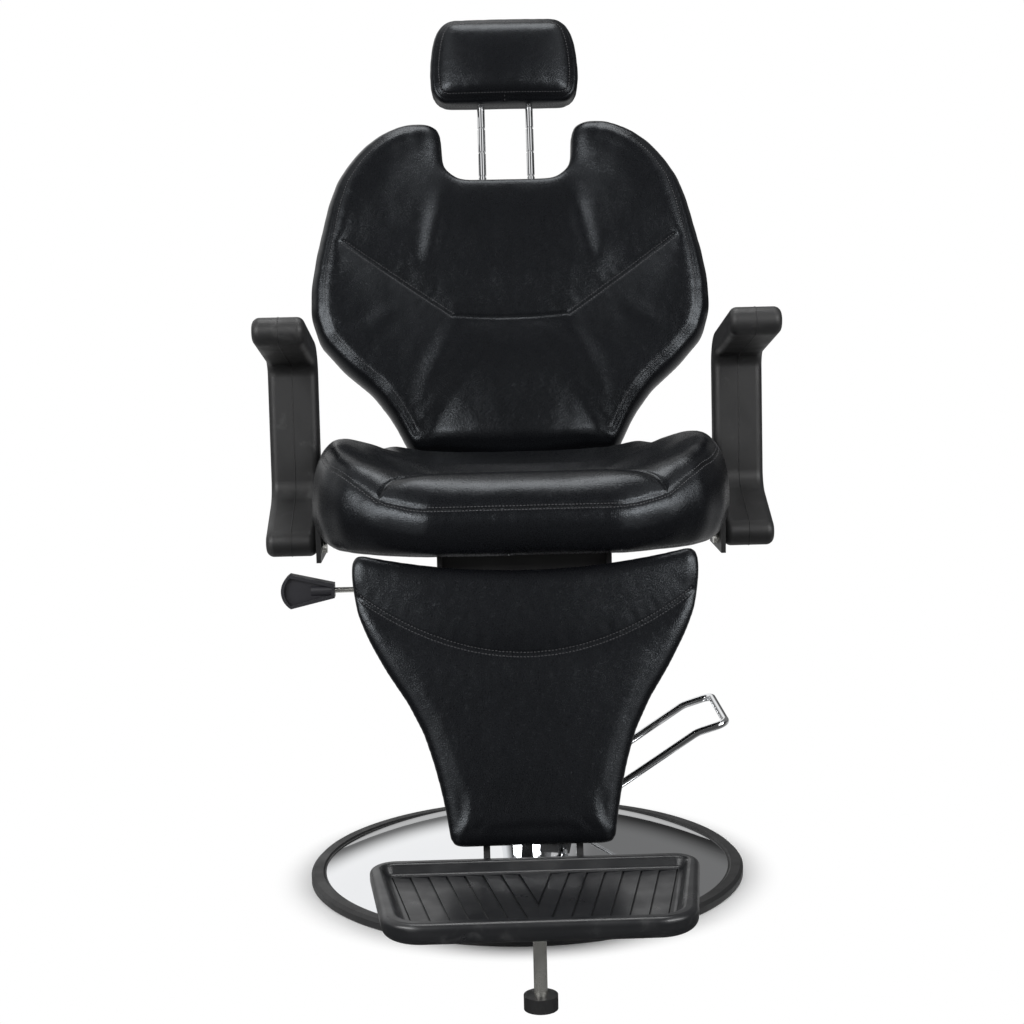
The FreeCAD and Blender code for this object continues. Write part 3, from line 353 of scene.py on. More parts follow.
COVER_CLOTH = Finish("cover_cloth", (0.0095, 0.0095, 0.0100), (0.0170, 0.0170, 0.0180), (0.52, 0.66),
                     grain=1500.0, relief=0.0003)


@dataclass(frozen=True)
class Panel:
    """A flat working plane: across is world X, along runs up the panel, out leaves its face."""

    origin: Place
    along: Place
    out: Place

    @classmethod
    def leaning(cls, y: float, z: float, degrees: float) -> "Panel":
        """A panel that faces the front and leans back by an angle."""
        rise, run = math.cos(math.radians(degrees)), math.sin(math.radians(degrees))
        return cls((0.0, y, z), (0.0, run, rise), (0.0, -rise, run))

    def axes(self) -> np.ndarray:
        """The three directions as rows."""
        return np.array([(1.0, 0.0, 0.0), self.along, self.out])

    def world(self, local: np.ndarray) -> np.ndarray:
        """Rows of across, along, out to world places."""
        return np.array(self.origin) + local @ self.axes()

    def local(self, points: np.ndarray) -> np.ndarray:
        """World places to rows of across, along, out."""
        return (points - np.array(self.origin)) @ self.axes().T


FLAT = Panel((0.0, 0.0, 0.0), (0.0, 1.0, 0.0), (0.0, 0.0, 1.0))
BACK = Panel.leaning(0.200, 0.555, 16.0)
LEG = Panel.leaning(-0.240, 0.467, 18.0)


class NodeForm:
    """A CAD node's edges in a panel's directions, to read its outline from."""

    skin = 0.0008
    middle = 0.001
    side_cuts = 140
    bottom_cuts = 40
    top_cuts = 110
    bottom_share = 0.98
    top_share = 0.985
    smoothing = 3

    def __init__(self, node: str, panel: Panel) -> None:
        """Takes the node's mesh as it stands in the frame.

        Args:
            node: The CAD node's name.
            panel: The plane that it is read in.
        """
        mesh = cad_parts[node].data
        pairs = np.empty(len(mesh.edges) * 2, dtype=np.int64)
        mesh.edges.foreach_get("vertices", pairs)
        self.ends = panel.local(mesh_points(mesh))[pairs.reshape(-1, 2)]

    def span(self, axis: int) -> tuple[float, float]:
        """Lowest and highest value along an axis."""
        return float(self.ends[..., axis].min()), float(self.ends[..., axis].max())

    def crossing(self, axis: int, level: float, other: int) -> np.ndarray:
        """Values on another axis where the edges cross a level.

        Args:
            axis: The axis that the level is on.
            level: The level.
            other: The axis whose values are wanted.

        Returns:
            One value for each edge that crosses.
        """
        first, last = self.ends[:, 0, axis], self.ends[:, 1, axis]
        cut = ((first - level) * (last - level) <= 0.0) & (np.abs(last - first) > 1e-9)
        share = (level - first[cut]) / (last[cut] - first[cut])
        return self.ends[cut, 0, other] * (1.0 - share) + self.ends[cut, 1, other] * share

    def outline(self, inset: float, step: float = 0.004) -> np.ndarray:
        """The node's outline in across and along, against the clock.

        Args:
            inset: How far the line is drawn in.
            step: The distance between its points.

        Returns:
            Rows of across and along, closed.
        """
        low, high = self.span(1)
        heights = np.linspace(low + self.skin, high - self.skin, self.side_cuts)
        sides = [(np.abs(self.crossing(1, height, 0)).max(), height) for height in heights]
        spread = np.linspace(self.middle, sides[0][0] * self.bottom_share, self.bottom_cuts)
        first = [(across, self.crossing(0, across, 1).min()) for across in spread]
        spread = np.linspace(sides[-1][0] * self.top_share, self.middle, self.top_cuts)
        last = [(across, self.crossing(0, across, 1).max()) for across in spread]
        right = np.array(first + sides + last)
        loop = np.vstack([right, right[::-1] * (-1.0, 1.0)])
        loop = evenly(loop, step, closed=True)
        for _ in range(self.smoothing):
            loop = 0.25 * np.roll(loop, 1, 0) + 0.5 * loop + 0.25 * np.roll(loop, -1, 0)
        return loop + inward(loop) * inset


def evenly(line: np.ndarray, step: float, closed: bool = False) -> np.ndarray:
    """A polyline with its points spread evenly.

    Args:
        line: Rows of two or three coordinates.
        step: The distance between the new points.
        closed: Whether the last point joins the first.

    Returns:
        The new rows.
    """
    if closed:
        line = np.vstack([line, line[:1]])
    lengths = np.concatenate([[0.0], np.cumsum(np.linalg.norm(np.diff(line, axis=0), axis=1))])
    count = max(int(round(lengths[-1] / step)), 2)
    marks = np.linspace(0.0, lengths[-1], count + 1)
    if closed:
        marks = marks[:-1]
    return np.column_stack([np.interp(marks, lengths, line[:, i]) for i in range(line.shape[1])])


def inward(loop: np.ndarray) -> np.ndarray:
    """The directions into a closed outline that runs against the clock.

    Args:
        loop: The outline's points.

    Returns:
        One direction of length 1 for each point.
    """
    along = np.roll(loop, -1, 0) - np.roll(loop, 1, 0)
    along /= np.linalg.norm(along, axis=1)[:, None]
    return np.column_stack([-along[:, 1], along[:, 0]])


def nearest_on(loop: np.ndarray, plan: np.ndarray, batch: int = 1500) -> tuple[np.ndarray, np.ndarray]:
    """The nearest points of a closed outline.

    Args:
        loop: The outline's points.
        plan: The points that are measured.
        batch: How many of them are measured at once.

    Returns:
        The nearest points, and the distances to them.
    """
    start, run = loop, np.roll(loop, -1, 0) - loop
    square = (run ** 2).sum(1)
    feet, gaps = np.empty_like(plan), np.empty(len(plan))
    for first in range(0, len(plan), batch):
        part = plan[first:first + batch]
        offset = part[:, None, :] - start[None]
        share = np.clip((offset * run).sum(-1) / square, 0.0, 1.0)
        close = start + share[..., None] * run
        reach = np.linalg.norm(part[:, None, :] - close, axis=-1)
        best = reach.argmin(1)
        rows = np.arange(len(part))
        feet[first:first + batch] = close[rows, best]
        gaps[first:first + batch] = reach[rows, best]
    return feet, gaps


@dataclass(frozen=True)
class SeamStyle:
    """How a sewn line shows: its groove, its stitch rows, their dents and the gathers beside it."""

    depth: float
    width: float
    rows: tuple[float, ...] = ()
    dent: float = 0.0
    gather: float = 0.0


class SeamKind(Enum):
    """The sewn lines on this chair's leather."""

    WELT = SeamStyle(0.0024, 0.0015, (-0.0028, 0.0028), 0.0008, 0.0003)
    FOLD = SeamStyle(0.0030, 0.0020, (-0.0032, 0.0032), 0.0008, 0.0003)
    LAP = SeamStyle(0.0014, 0.0018, (-0.0029, 0.0029), 0.0009, 0.0003)
    CREASE = SeamStyle(0.0032, 0.0028, (), 0.0, 0.0003)
    EDGE = SeamStyle(0.0020, 0.0022, (0.0044,), 0.0007, 0.0003)
    HEM = SeamStyle(0.0006, 0.0030, (0.0,), 0.0006, 0.0001)


@dataclass
class Seam:
    """One sewn line, as plan points on its cushion's face or under its rim."""

    kind: SeamKind
    plan: np.ndarray
    under: bool = False
    strength: tuple[float, ...] = (1.0, 1.0)
    points: np.ndarray = field(default_factory=lambda: np.empty((0, 3)))


class LineTree:
    """Geometry Nodes that make one mesh along a line, with an input for each size and for the material."""

    name = ""
    sizes: tuple[str, ...] = ()

    def tree(self) -> bpy.types.NodeTree:
        """The node tree, made once.

        Returns:
            The tree.
        """
        made = bpy.data.node_groups.get(self.name)
        if made is None:
            made = bpy.data.node_groups.new(self.name, "GeometryNodeTree")
            self.draw(made)
        return made

    def draw(self, tree: bpy.types.NodeTree) -> None:
        """Draws the tree: line, what is laid on it, one mesh.

        Args:
            tree: The empty tree.
        """
        sockets = tree.interface.new_socket
        sockets("Geometry", in_out="INPUT", socket_type="NodeSocketGeometry")
        for label in self.sizes:
            sockets(label, in_out="INPUT", socket_type="NodeSocketFloat")
        sockets("Skin", in_out="INPUT", socket_type="NodeSocketMaterial")
        sockets("Geometry", in_out="OUTPUT", socket_type="NodeSocketGeometry")
        sheet = NodeSheet(tree)
        given = sheet.put("NodeGroupInput")
        curve = sheet.put("GeometryNodeMeshToCurve", {0: given.outputs["Geometry"]})
        real = sheet.put("GeometryNodeRealizeInstances", {0: self.laid(sheet, given, curve).outputs[0]})
        smooth = sheet.put("GeometryNodeSetShadeSmooth", {0: real.outputs[0]})
        done = sheet.put("GeometryNodeSetMaterial", {"Geometry": smooth.outputs[0],
                                                     "Material": given.outputs["Skin"]})
        sheet.put("NodeGroupOutput", {0: done.outputs[0]})

    def laid(self, sheet: NodeSheet, given: bpy.types.Node, curve: bpy.types.Node) -> bpy.types.Node:
        """Draws what is laid along the line.

        Args:
            sheet: The tree.
            given: The node with the tree's inputs.
            curve: The node with the line as a curve.

        Returns:
            The node whose first output is the laid shape.
        """
        raise NotImplementedError


class StitchTree(LineTree):
    """Short stitches, one after another."""

    name = "stitch_rows"
    sizes = ("Pitch", "Length", "Width", "Height")

    def laid(self, sheet: NodeSheet, given: bpy.types.Node, curve: bpy.types.Node) -> bpy.types.Node:
        """Even points on the line, with a bead laid flat on each.

        Args:
            sheet: The tree.
            given: The node with the tree's inputs.
            curve: The node with the line as a curve.

        Returns:
            The node with the beads.
        """
        size = given.outputs
        spots = sheet.put("GeometryNodeResampleCurve", {"Curve": curve.outputs[0], "Length": size["Pitch"]},
                          mode="LENGTH")
        scale = sheet.put("ShaderNodeCombineXYZ", {"X": size["Length"], "Y": size["Width"],
                                                   "Z": size["Height"]})
        bead = sheet.put("GeometryNodeMeshUVSphere", {"Segments": 6, "Rings": 5, "Radius": 0.5})
        stitch = sheet.put("GeometryNodeTransform", {"Geometry": bead.outputs["Mesh"],
                                                     "Scale": scale.outputs["Vector"]})
        tangent = sheet.put("GeometryNodeInputTangent")
        lift = sheet.put("GeometryNodeInputNamedAttribute", {"Name": "lift"}, data_type="FLOAT_VECTOR")
        turned = sheet.put("FunctionNodeAlignRotationToVector", {"Vector": tangent.outputs[0]}, axis="X")
        flat = sheet.put("FunctionNodeAlignRotationToVector", {"Rotation": turned.outputs[0],
                                                               "Vector": lift.outputs[0]},
                         axis="Z", pivot_axis="X")
        return sheet.put("GeometryNodeInstanceOnPoints", {"Points": spots.outputs[0],
                                                          "Instance": stitch.outputs[0],
                                                          "Rotation": flat.outputs[0]})


class RidgeTree(LineTree):
    """A fine round bead."""

    name = "ridge_line"
    sizes = ("Radius",)

    def laid(self, sheet: NodeSheet, given: bpy.types.Node, curve: bpy.types.Node) -> bpy.types.Node:
        """A circle swept along the line.

        Args:
            sheet: The tree.
            given: The node with the tree's inputs.
            curve: The node with the line as a curve.

        Returns:
            The node with the bead.
        """
        circle = sheet.put("GeometryNodeCurvePrimitiveCircle", {"Resolution": 8,
                                                                "Radius": given.outputs["Radius"]})
        return sheet.put("GeometryNodeCurveToMesh", {"Curve": curve.outputs[0],
                                                     "Profile Curve": circle.outputs[0]})


def along_lines(name: str, lines: list[np.ndarray], lifts: list[np.ndarray] | None, closed: bool,
                tree: bpy.types.NodeTree, sizes: dict[str, object]) -> bpy.types.Object:
    """Runs a Geometry Nodes tree along polylines and keeps the result as a plain mesh.

    Args:
        name: The new piece's name.
        lines: The polylines, rows of world places.
        lifts: The surface's direction at each point, or None.
        closed: Whether each line closes on itself.
        tree: The node tree.
        sizes: Input name to value.

    Returns:
        The new object, with no modifier on it.
    """
    points = np.vstack(lines)
    edges, first = [], 0
    for line in lines:
        edges += [(first + i, first + i + 1) for i in range(len(line) - 1)]
        if closed:
            edges.append((first + len(line) - 1, first))
        first += len(line)
    mesh = bpy.data.meshes.new(name)
    mesh.from_pydata(points.tolist(), edges, [])
    if lifts is not None:
        mesh.attributes.new("lift", "FLOAT_VECTOR", "POINT").data.foreach_set(
            "vector", np.vstack(lifts).astype(np.float32).ravel())
    obj = new_object(name, mesh)
    modifier = obj.modifiers.new(name, "NODES")
    modifier.node_group = tree
    for item in tree.interface.items_tree:
        if item.item_type == "SOCKET" and item.in_out == "INPUT" and item.name in sizes:
            modifier[item.identifier] = sizes[item.name]
    plain = evaluated_mesh(obj)
    obj.modifiers.remove(modifier)
    obj.data = plain
    plain.name = name
    bpy.data.meshes.remove(mesh)
    return obj


@dataclass
class Pad:
    """A stuffed leather cushion: outline from its CAD node, rolled edges, a crowned face and sewn lines.

    Levels are measured out from the panel. wall is the lowest and highest level of the side band.
    cap is how far the stuffing may push a point of the face out, and wall_share its share on the band.
    """

    name: str
    body: str
    node: str
    panel: Panel
    base: float
    wall: Span
    roll_width: float
    under_width: float
    inset: float = 0.003
    voxel: float = 0.006
    cap: float = 0.008
    wall_share: float = 0.3
    fill: float = 0.8
    wrinkle: float = 0.0006
    bending: float = 5.0
    draw_in: float = 0.6
    let_out: float = -0.61
    start_rounds: int = 8
    swell_rounds: int = 6
    snap: Span = (0.55, 0.45)
    held_share: float = 0.3
    held_gap: float = 0.6
    face_share: float = 0.9
    finer: tuple[float, ...] = (0.010, 0.006)
    tuck_depth: float = 0.003
    tuck_width: float = 0.016
    dent_width: float = 0.0018
    gather_gap: float = 0.012
    gather_width: float = 0.008
    gather_scale: float = 95.0
    gather_apart: float = 5.0
    broad_folds: Place = (17.0, 17.0, 11.0)
    fine_folds: Place = (46.0, 46.0, 30.0)
    fine_shift: Place = (7.0, 0.0, 0.0)
    fine_share: float = 0.45
    row_step: float = 0.004
    row_lift: float = 0.0001

    def __post_init__(self) -> None:
        """Reads the node's outline."""
        self.form = NodeForm(self.node, self.panel)
        self.ring = self.trim(self.form.outline(self.inset))
        self.sewn = self.seams()
        self.obj: bpy.types.Object | None = None

    def trim(self, ring: np.ndarray) -> np.ndarray:
        """The outline as the leather is cut to it."""
        return ring

    def face(self, plan: np.ndarray) -> np.ndarray:
        """Level of the face, away from its rolled edge."""
        raise NotImplementedError

    def seams(self) -> list[Seam]:
        """The sewn lines."""
        return []

    def roll(self, foot: np.ndarray) -> np.ndarray:
        """Width of the rolled edge at points of the outline."""
        return np.full(len(foot), self.roll_width)

    def middle(self, foot: np.ndarray) -> np.ndarray:
        """Level of the side band's middle at points of the outline."""
        return np.full(len(foot), 0.5 * (self.wall[0] + self.wall[1]))

    def level(self, plan: np.ndarray, under: bool = False) -> np.ndarray:
        """Levels of the finished face, or of the underside, at plan points.

        Args:
            plan: Rows of across and along.
            under: Whether the underside is meant.

        Returns:
            One level for each row.
        """
        foot, gap = nearest_on(self.ring, plan)
        width = np.full(len(plan), self.under_width) if under else self.roll(foot)
        turn = np.arccos(np.clip(1.0 - gap / width, 0.0, 1.0))
        half = 0.5 * (self.wall[1] - self.wall[0])
        lip = self.middle(foot) + (-half if under else half)
        goal = np.full(len(plan), self.base) if under else self.face(plan)
        return lip + (goal - lip) * np.sin(turn)

    def placed(self, start: np.ndarray) -> np.ndarray:
        """Moves the points of the starting slab onto the cushion's shape.

        Args:
            start: Rows of across, along and level on the slab.

        Returns:
            The rows on the cushion.
        """
        plan = start[:, :2]
        foot, gap = nearest_on(self.ring, plan)
        share = np.clip((start[:, 2] - self.wall[0]) / (self.wall[1] - self.wall[0]), 0.0, 1.0)
        upper = share > 0.5
        width = np.where(upper, self.roll(foot), self.under_width)
        snap = np.minimum(self.snap[0] * self.voxel, self.snap[1] * width)
        turn = np.clip((gap - snap) / (width - snap), 0.0, 1.0) * math.pi / 2.0
        drawn = np.where(gap < width, width * (1.0 - np.cos(turn)), gap)
        moved = foot + (plan - foot) / np.maximum(gap, 1e-7)[:, None] * drawn[:, None]
        lip = self.middle(foot) + (share - 0.5) * (self.wall[1] - self.wall[0])
        goal = np.where(upper, self.face(moved), self.base)
        level = lip + (goal - lip) * np.sin(turn)
        return np.column_stack([moved, level])

    def start(self) -> None:
        """Makes the cushion's even mesh and finds what its seams and board hold."""
        low, high = self.wall
        shape = bmesh.new()
        top = [shape.verts.new((a, b, high)) for a, b in self.ring]
        bottom = [shape.verts.new((a, b, low)) for a, b in self.ring]
        shape.faces.new(top)
        shape.faces.new(bottom[::-1])
        for i, corner in enumerate(top):
            before = i - 1
            shape.faces.new((top[before], bottom[before], bottom[i], corner))
        mesh = bpy.data.meshes.new(self.name)
        shape.to_mesh(mesh)
        shape.free()
        self.obj = new_object(self.name, mesh)
        remesh = self.obj.modifiers.new("even", "REMESH")
        remesh.mode = "VOXEL"
        remesh.voxel_size = self.voxel
        self.swap(evaluated_mesh(self.obj))
        slab = mesh_points(self.obj.data)
        self.share = np.clip((slab[:, 2] - low) / (high - low), 0.0, 1.0)
        for seam in self.sewn:
            plan = evenly(seam.plan, SEAM_STEP)
            seam.points = self.panel.world(np.column_stack([plan, self.level(plan, seam.under)]))
        points = self.evened(self.panel.world(self.placed(slab)), self.start_rounds)
        gap = self.seam_gaps(points)[0]
        tuck = np.exp(-(gap / self.tuck_width) ** 2) * self.tuck_depth
        points -= tuck[:, None] * np.array(self.panel.out)
        set_points(self.obj.data, points)
        held = np.flatnonzero((self.share < self.held_share) | (gap < self.held_gap * self.voxel))
        self.obj.vertex_groups.new(name="held").add(held.tolist(), 1.0, "REPLACE")
        self.flat = points

    def evened(self, values: np.ndarray, rounds: int) -> np.ndarray:
        """Takes the unevenness of single mesh points out of their values.

        Args:
            values: Rows of three numbers, one row for each point.
            rounds: How often each row is drawn to its neighbours and let out again.

        Returns:
            The smoothed rows.
        """
        mesh = self.obj.data
        pairs = np.empty(len(mesh.edges) * 2, dtype=np.int64)
        mesh.edges.foreach_get("vertices", pairs)
        one, two = pairs.reshape(-1, 2).T
        count = np.bincount(pairs, minlength=len(values))[:, None]
        smooth = values.copy()
        for pull in (self.draw_in, self.let_out) * rounds:
            total = np.zeros_like(smooth)
            np.add.at(total, one, smooth[two])
            np.add.at(total, two, smooth[one])
            smooth += pull * (total / np.maximum(count, 1) - smooth)
        return smooth

    def swap(self, mesh: bpy.types.Mesh) -> None:
        """Gives the object a new mesh and takes its modifiers off.

        Args:
            mesh: The new mesh.
        """
        old = self.obj.data
        self.obj.modifiers.clear()
        self.obj.data = mesh
        bpy.data.meshes.remove(old)
        mesh.name = self.name

    def seam_gaps(self, points: np.ndarray) -> tuple[np.ndarray, np.ndarray, np.ndarray]:
        """Distances from points to the nearest sewn line.

        Args:
            points: World places.

        Returns:
            The distances, the seam's number, and how far along it the nearest point is.
        """
        total = sum(len(seam.points) for seam in self.sewn)
        if not total:
            far = np.full(len(points), 1.0)
            return far, np.zeros(len(points), dtype=int), np.zeros(len(points))
        tree, owner, reach = kdtree.KDTree(total), [], []
        for number, seam in enumerate(self.sewn):
            for step, point in enumerate(seam.points):
                tree.insert(point, len(owner))
                owner.append(number)
                reach.append(step * SEAM_STEP)
        tree.balance()
        found = [tree.find(point) for point in points]
        gaps = np.array([hit[2] for hit in found])
        numbers = np.array([owner[hit[1]] for hit in found])
        return gaps, numbers, np.array([reach[hit[1]] for hit in found])

    def stuff(self) -> None:
        """Puts a pressed-out cloth on the cushion, held at its board and its seams."""
        cloth = self.obj.modifiers.new("stuffing", "CLOTH")
        settings = cloth.settings
        for key, value in STUFFING.items():
            setattr(settings, key, value)
        settings.bending_stiffness = self.bending
        settings.vertex_group_mass = "held"
        settings.effector_weights.gravity = 0.0
        cloth.point_cache.frame_start = 1
        cloth.point_cache.frame_end = SWELL_FRAMES

    def settle(self) -> None:
        """Takes the pressed-out shape, with each point's move held to the cap."""
        moved = mesh_points(evaluated_mesh(self.obj)) - self.flat
        length = np.linalg.norm(moved, axis=1)
        limit = self.cap * np.where(self.share > self.face_share, 1.0, self.wall_share)
        moved *= (np.minimum(length, limit) / np.maximum(length, 1e-9))[:, None]
        self.obj.modifiers.clear()
        set_points(self.obj.data, self.flat + self.evened(moved, self.swell_rounds))

    def refine(self) -> None:
        """Divides the mesh, finer along the seams, and presses grooves, dents and gathers into it."""
        mesh = self.obj.data
        mesh.attributes.new("flat", "FLOAT_VECTOR", "POINT").data.foreach_set(
            "vector", self.flat.astype(np.float32).ravel())
        divide = self.obj.modifiers.new("divide", "SUBSURF")
        divide.levels = divide.render_levels = 1
        self.swap(evaluated_mesh(self.obj))
        shape = bmesh.new()
        shape.from_mesh(self.obj.data)
        layer = shape.verts.layers.float_vector["flat"]
        for reach in self.finer:
            gaps = self.seam_gaps(np.array([vert[layer] for vert in shape.verts]))[0]
            shape.verts.index_update()
            close = [edge for edge in shape.edges if max(gaps[vert.index] for vert in edge.verts) < reach]
            bmesh.ops.subdivide_edges(shape, edges=close, cuts=1, use_grid_fill=True)
            bmesh.ops.triangulate(shape, faces=[face for face in shape.faces if len(face.verts) > 4])
        shape.to_mesh(self.obj.data)
        shape.free()
        self.press()

    def press(self) -> None:
        """Moves the divided mesh's points in along the seams, and up and down in soft wrinkles."""
        mesh = self.obj.data
        flat = np.empty(len(mesh.vertices) * 3)
        mesh.attributes["flat"].data.foreach_get("vector", flat)
        gaps, numbers, reach = self.seam_gaps(flat.reshape(-1, 3))
        points = mesh_points(mesh)
        normals = np.empty(len(points) * 3)
        mesh.vertices.foreach_get("normal", normals)
        shift = np.zeros(len(points))
        for number, seam in enumerate(self.sewn):
            style, mine = seam.kind.value, numbers == number
            gap, run = gaps[mine], reach[mine]
            steps = np.linspace(0.0, SEAM_STEP * len(seam.points), len(seam.strength))
            dip = -style.depth * np.exp(-(gap / style.width) ** 2) * np.interp(run, steps, seam.strength)
            for row in {abs(value) for value in style.rows}:
                dip -= style.dent * np.exp(-((gap - row) / self.dent_width) ** 2)
            side = number * self.gather_apart
            pull = [noise.noise(Vector((step * self.gather_scale, side, 0.0))) for step in run]
            beside = np.exp(-((gap - self.gather_gap) / self.gather_width) ** 2)
            shift[mine] = dip + style.gather * np.array(pull) * beside
        folds = zip(points * self.broad_folds, points * self.fine_folds + self.fine_shift)
        for index, (broad, fine) in enumerate(folds):
            fold = noise.noise(Vector(broad)) + self.fine_share * noise.noise(Vector(fine))
            shift[index] += self.wrinkle * fold
        set_points(mesh, points + normals.reshape(-1, 3) * shift[:, None])
        mesh.attributes.remove(mesh.attributes["flat"])
        # Distance to the nearest seam or crease, which the leather reads for its painted seam shade.
        mesh.attributes.new(LEATHER.seam_name, "FLOAT", "POINT").data.foreach_set(
            "value", gaps.astype(np.float32))
        for group in list(self.obj.vertex_groups):
            self.obj.vertex_groups.remove(group)

    def dress(self) -> None:
        """Gives the cushion its leather, its body and its stitches."""
        mesh = self.obj.data
        mesh.materials.clear()
        mesh.materials.append(LEATHER.material())
        mesh.shade_smooth()
        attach(self.obj, self.body)
        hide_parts(self.node)
        log.info("%s: %d faces, on %s", self.name, len(mesh.polygons), self.body)
        self.stitch()

    def stitch(self) -> None:
        """Lays the stitch rows beside the seams, on the finished leather."""
        mesh = self.obj.data
        skin = BVHTree.FromPolygons([vert.co for vert in mesh.vertices],
                                    [tuple(face.vertices) for face in mesh.polygons])
        lines, lifts = [], []
        for seam in self.sewn:
            for row in seam.kind.value.rows:
                line, lift = self.row_line(skin, seam.points, row)
                lines.append(line)
                lifts.append(lift)
        if not lines:
            return
        sizes = {**STITCH_SIZES, "Skin": THREAD.material()}
        piece = along_lines(f"{self.name}_stitches", lines, lifts, False, StitchTree().tree(), sizes)
        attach(piece, self.body)
        log.info("%s: %d rows", piece.name, len(lines))

    def row_line(self, skin: BVHTree, points: np.ndarray, row: float) -> tuple[np.ndarray, np.ndarray]:
        """One stitch row on the leather beside a seam.

        Args:
            skin: The finished leather.
            points: The seam's points.
            row: How far beside the seam, with a sign for the side.

        Returns:
            The row's points, and the leather's direction at each.
        """
        line = evenly(points, self.row_step)
        runs = np.gradient(line, axis=0)
        places, lifts = [], []
        for point, run in zip(line, runs):
            spot, normal, _, _ = skin.find_nearest(point)
            side = normal.cross(Vector(run)).normalized()
            spot, normal, _, _ = skin.find_nearest(spot + side * row)
            places.append(spot + normal * self.row_lift)
            lifts.append(normal)
        return np.array(places), np.array(lifts)


@dataclass
class SeatPad(Pad):
    """The seat: a dish between side bolsters, with a front roll above a sewn welt."""

    crown: float = 0.560
    sag: float = 0.006
    sag_span: Span = (-0.15, 0.05)
    bolster: float = 0.046
    bolster_y: float = -0.035
    bolster_reach: float = 0.190
    bolster_share: float = 0.88
    bolster_top: float = 1.08
    bolster_power: float = 3.2
    hill_power: float = 0.7
    least_half: float = 0.05
    crease_y: float = -0.152
    crease_bow: float = 0.070
    crease_half: float = 0.176
    crease_points: int = 60
    roll_puff: float = 0.006
    least_roll: float = 0.01
    middle_half: float = 0.01
    crease_strength: tuple[float, ...] = (0.4, 1.2, 1.0, 0.4, 0.25, 0.2, 0.25, 0.4, 1.0, 1.2, 0.4)
    side_span: Span = (0.12, 0.23)
    side_rise: float = 0.014
    side_cut: float = 0.026
    rear_span: Span = (0.1, 0.2)
    rear_cut: float = 0.008
    welt_end: float = 0.13
    welt_inset: float = 0.0055
    welt_side: tuple[float, float, float] = (0.006, 0.16, 0.24)
    welt_rear: tuple[float, float, float] = (0.010, -0.15, 0.0)
    hem_end: float = -0.10
    hem_inset: float = 0.020

    def crease(self, across: np.ndarray) -> np.ndarray:
        """How far back the crease behind the front roll lies."""
        return self.crease_y - self.crease_bow * (np.abs(across) / self.crease_half) ** 3

    def half_width(self, along: np.ndarray) -> np.ndarray:
        """Half the seat's width at places from front to back.

        Args:
            along: The places.

        Returns:
            One half width for each place.
        """
        right = self.ring[self.ring[:, 0] > 0.0]
        order = np.argsort(right[:, 1])
        return np.interp(along, right[order, 1], np.maximum(right[order, 0], self.least_half))

    def face(self, plan: np.ndarray) -> np.ndarray:
        """Level of the dish, its bolsters and its front roll.

        Args:
            plan: Rows of across and along.

        Returns:
            One level for each row.
        """
        across, along = plan.T
        reach = np.abs(across) / (self.bolster_share * self.half_width(along))
        reach = np.clip(reach, 0.0, self.bolster_top)
        slope = 1.0 - ((along - self.bolster_y) / self.bolster_reach) ** 2
        hill = np.clip(slope, 0.0, 1.0) ** self.hill_power
        dish = self.crown - self.sag * ease(*self.sag_span, along)
        dish = dish + self.bolster * hill * reach ** self.bolster_power
        line = self.crease(across)
        front = float(self.ring[:, 1].min())
        share = np.clip((line - along) / np.maximum(line - front, self.least_roll), 0.0, 1.0)
        return dish + self.roll_puff * np.sin(math.pi * share) * (np.abs(across) < self.crease_half)

    def roll(self, foot: np.ndarray) -> np.ndarray:
        """A broad roll at the front, tighter at the sides."""
        side = self.side_cut * ease(*self.side_span, np.abs(foot[:, 0]))
        return self.roll_width - side - self.rear_cut * ease(*self.rear_span, foot[:, 1])

    def middle(self, foot: np.ndarray) -> np.ndarray:
        """The side band rises from the front to the sides."""
        return super().middle(foot) + self.side_rise * ease(*self.side_span, np.abs(foot[:, 0]))

    def seams(self) -> list[Seam]:
        """The welt round front and sides, the crease behind the front roll and the lower hem.

        Returns:
            The three lines.
        """
        start = int(np.argmax(self.ring[:, 1] + (np.abs(self.ring[:, 0]) < self.middle_half)))
        ring = np.roll(self.ring, -start, 0)
        inner = inward(ring)
        side = self.welt_side[0] * ease(*self.welt_side[1:], np.abs(ring[:, 0]))
        rear = self.welt_rear[0] * ease(*self.welt_rear[1:], ring[:, 1])
        depth = self.welt_inset + side + rear
        welt = (ring + inner * depth[:, None])[ring[:, 1] < self.welt_end]
        hem = (ring + inner * self.hem_inset)[ring[:, 1] < self.hem_end]
        across = np.linspace(-self.crease_half, self.crease_half, self.crease_points)
        crease = np.column_stack([across, self.crease(across)])
        return [Seam(SeamKind.WELT, welt), Seam(SeamKind.CREASE, crease, strength=self.crease_strength),
                Seam(SeamKind.HEM, hem, under=True)]


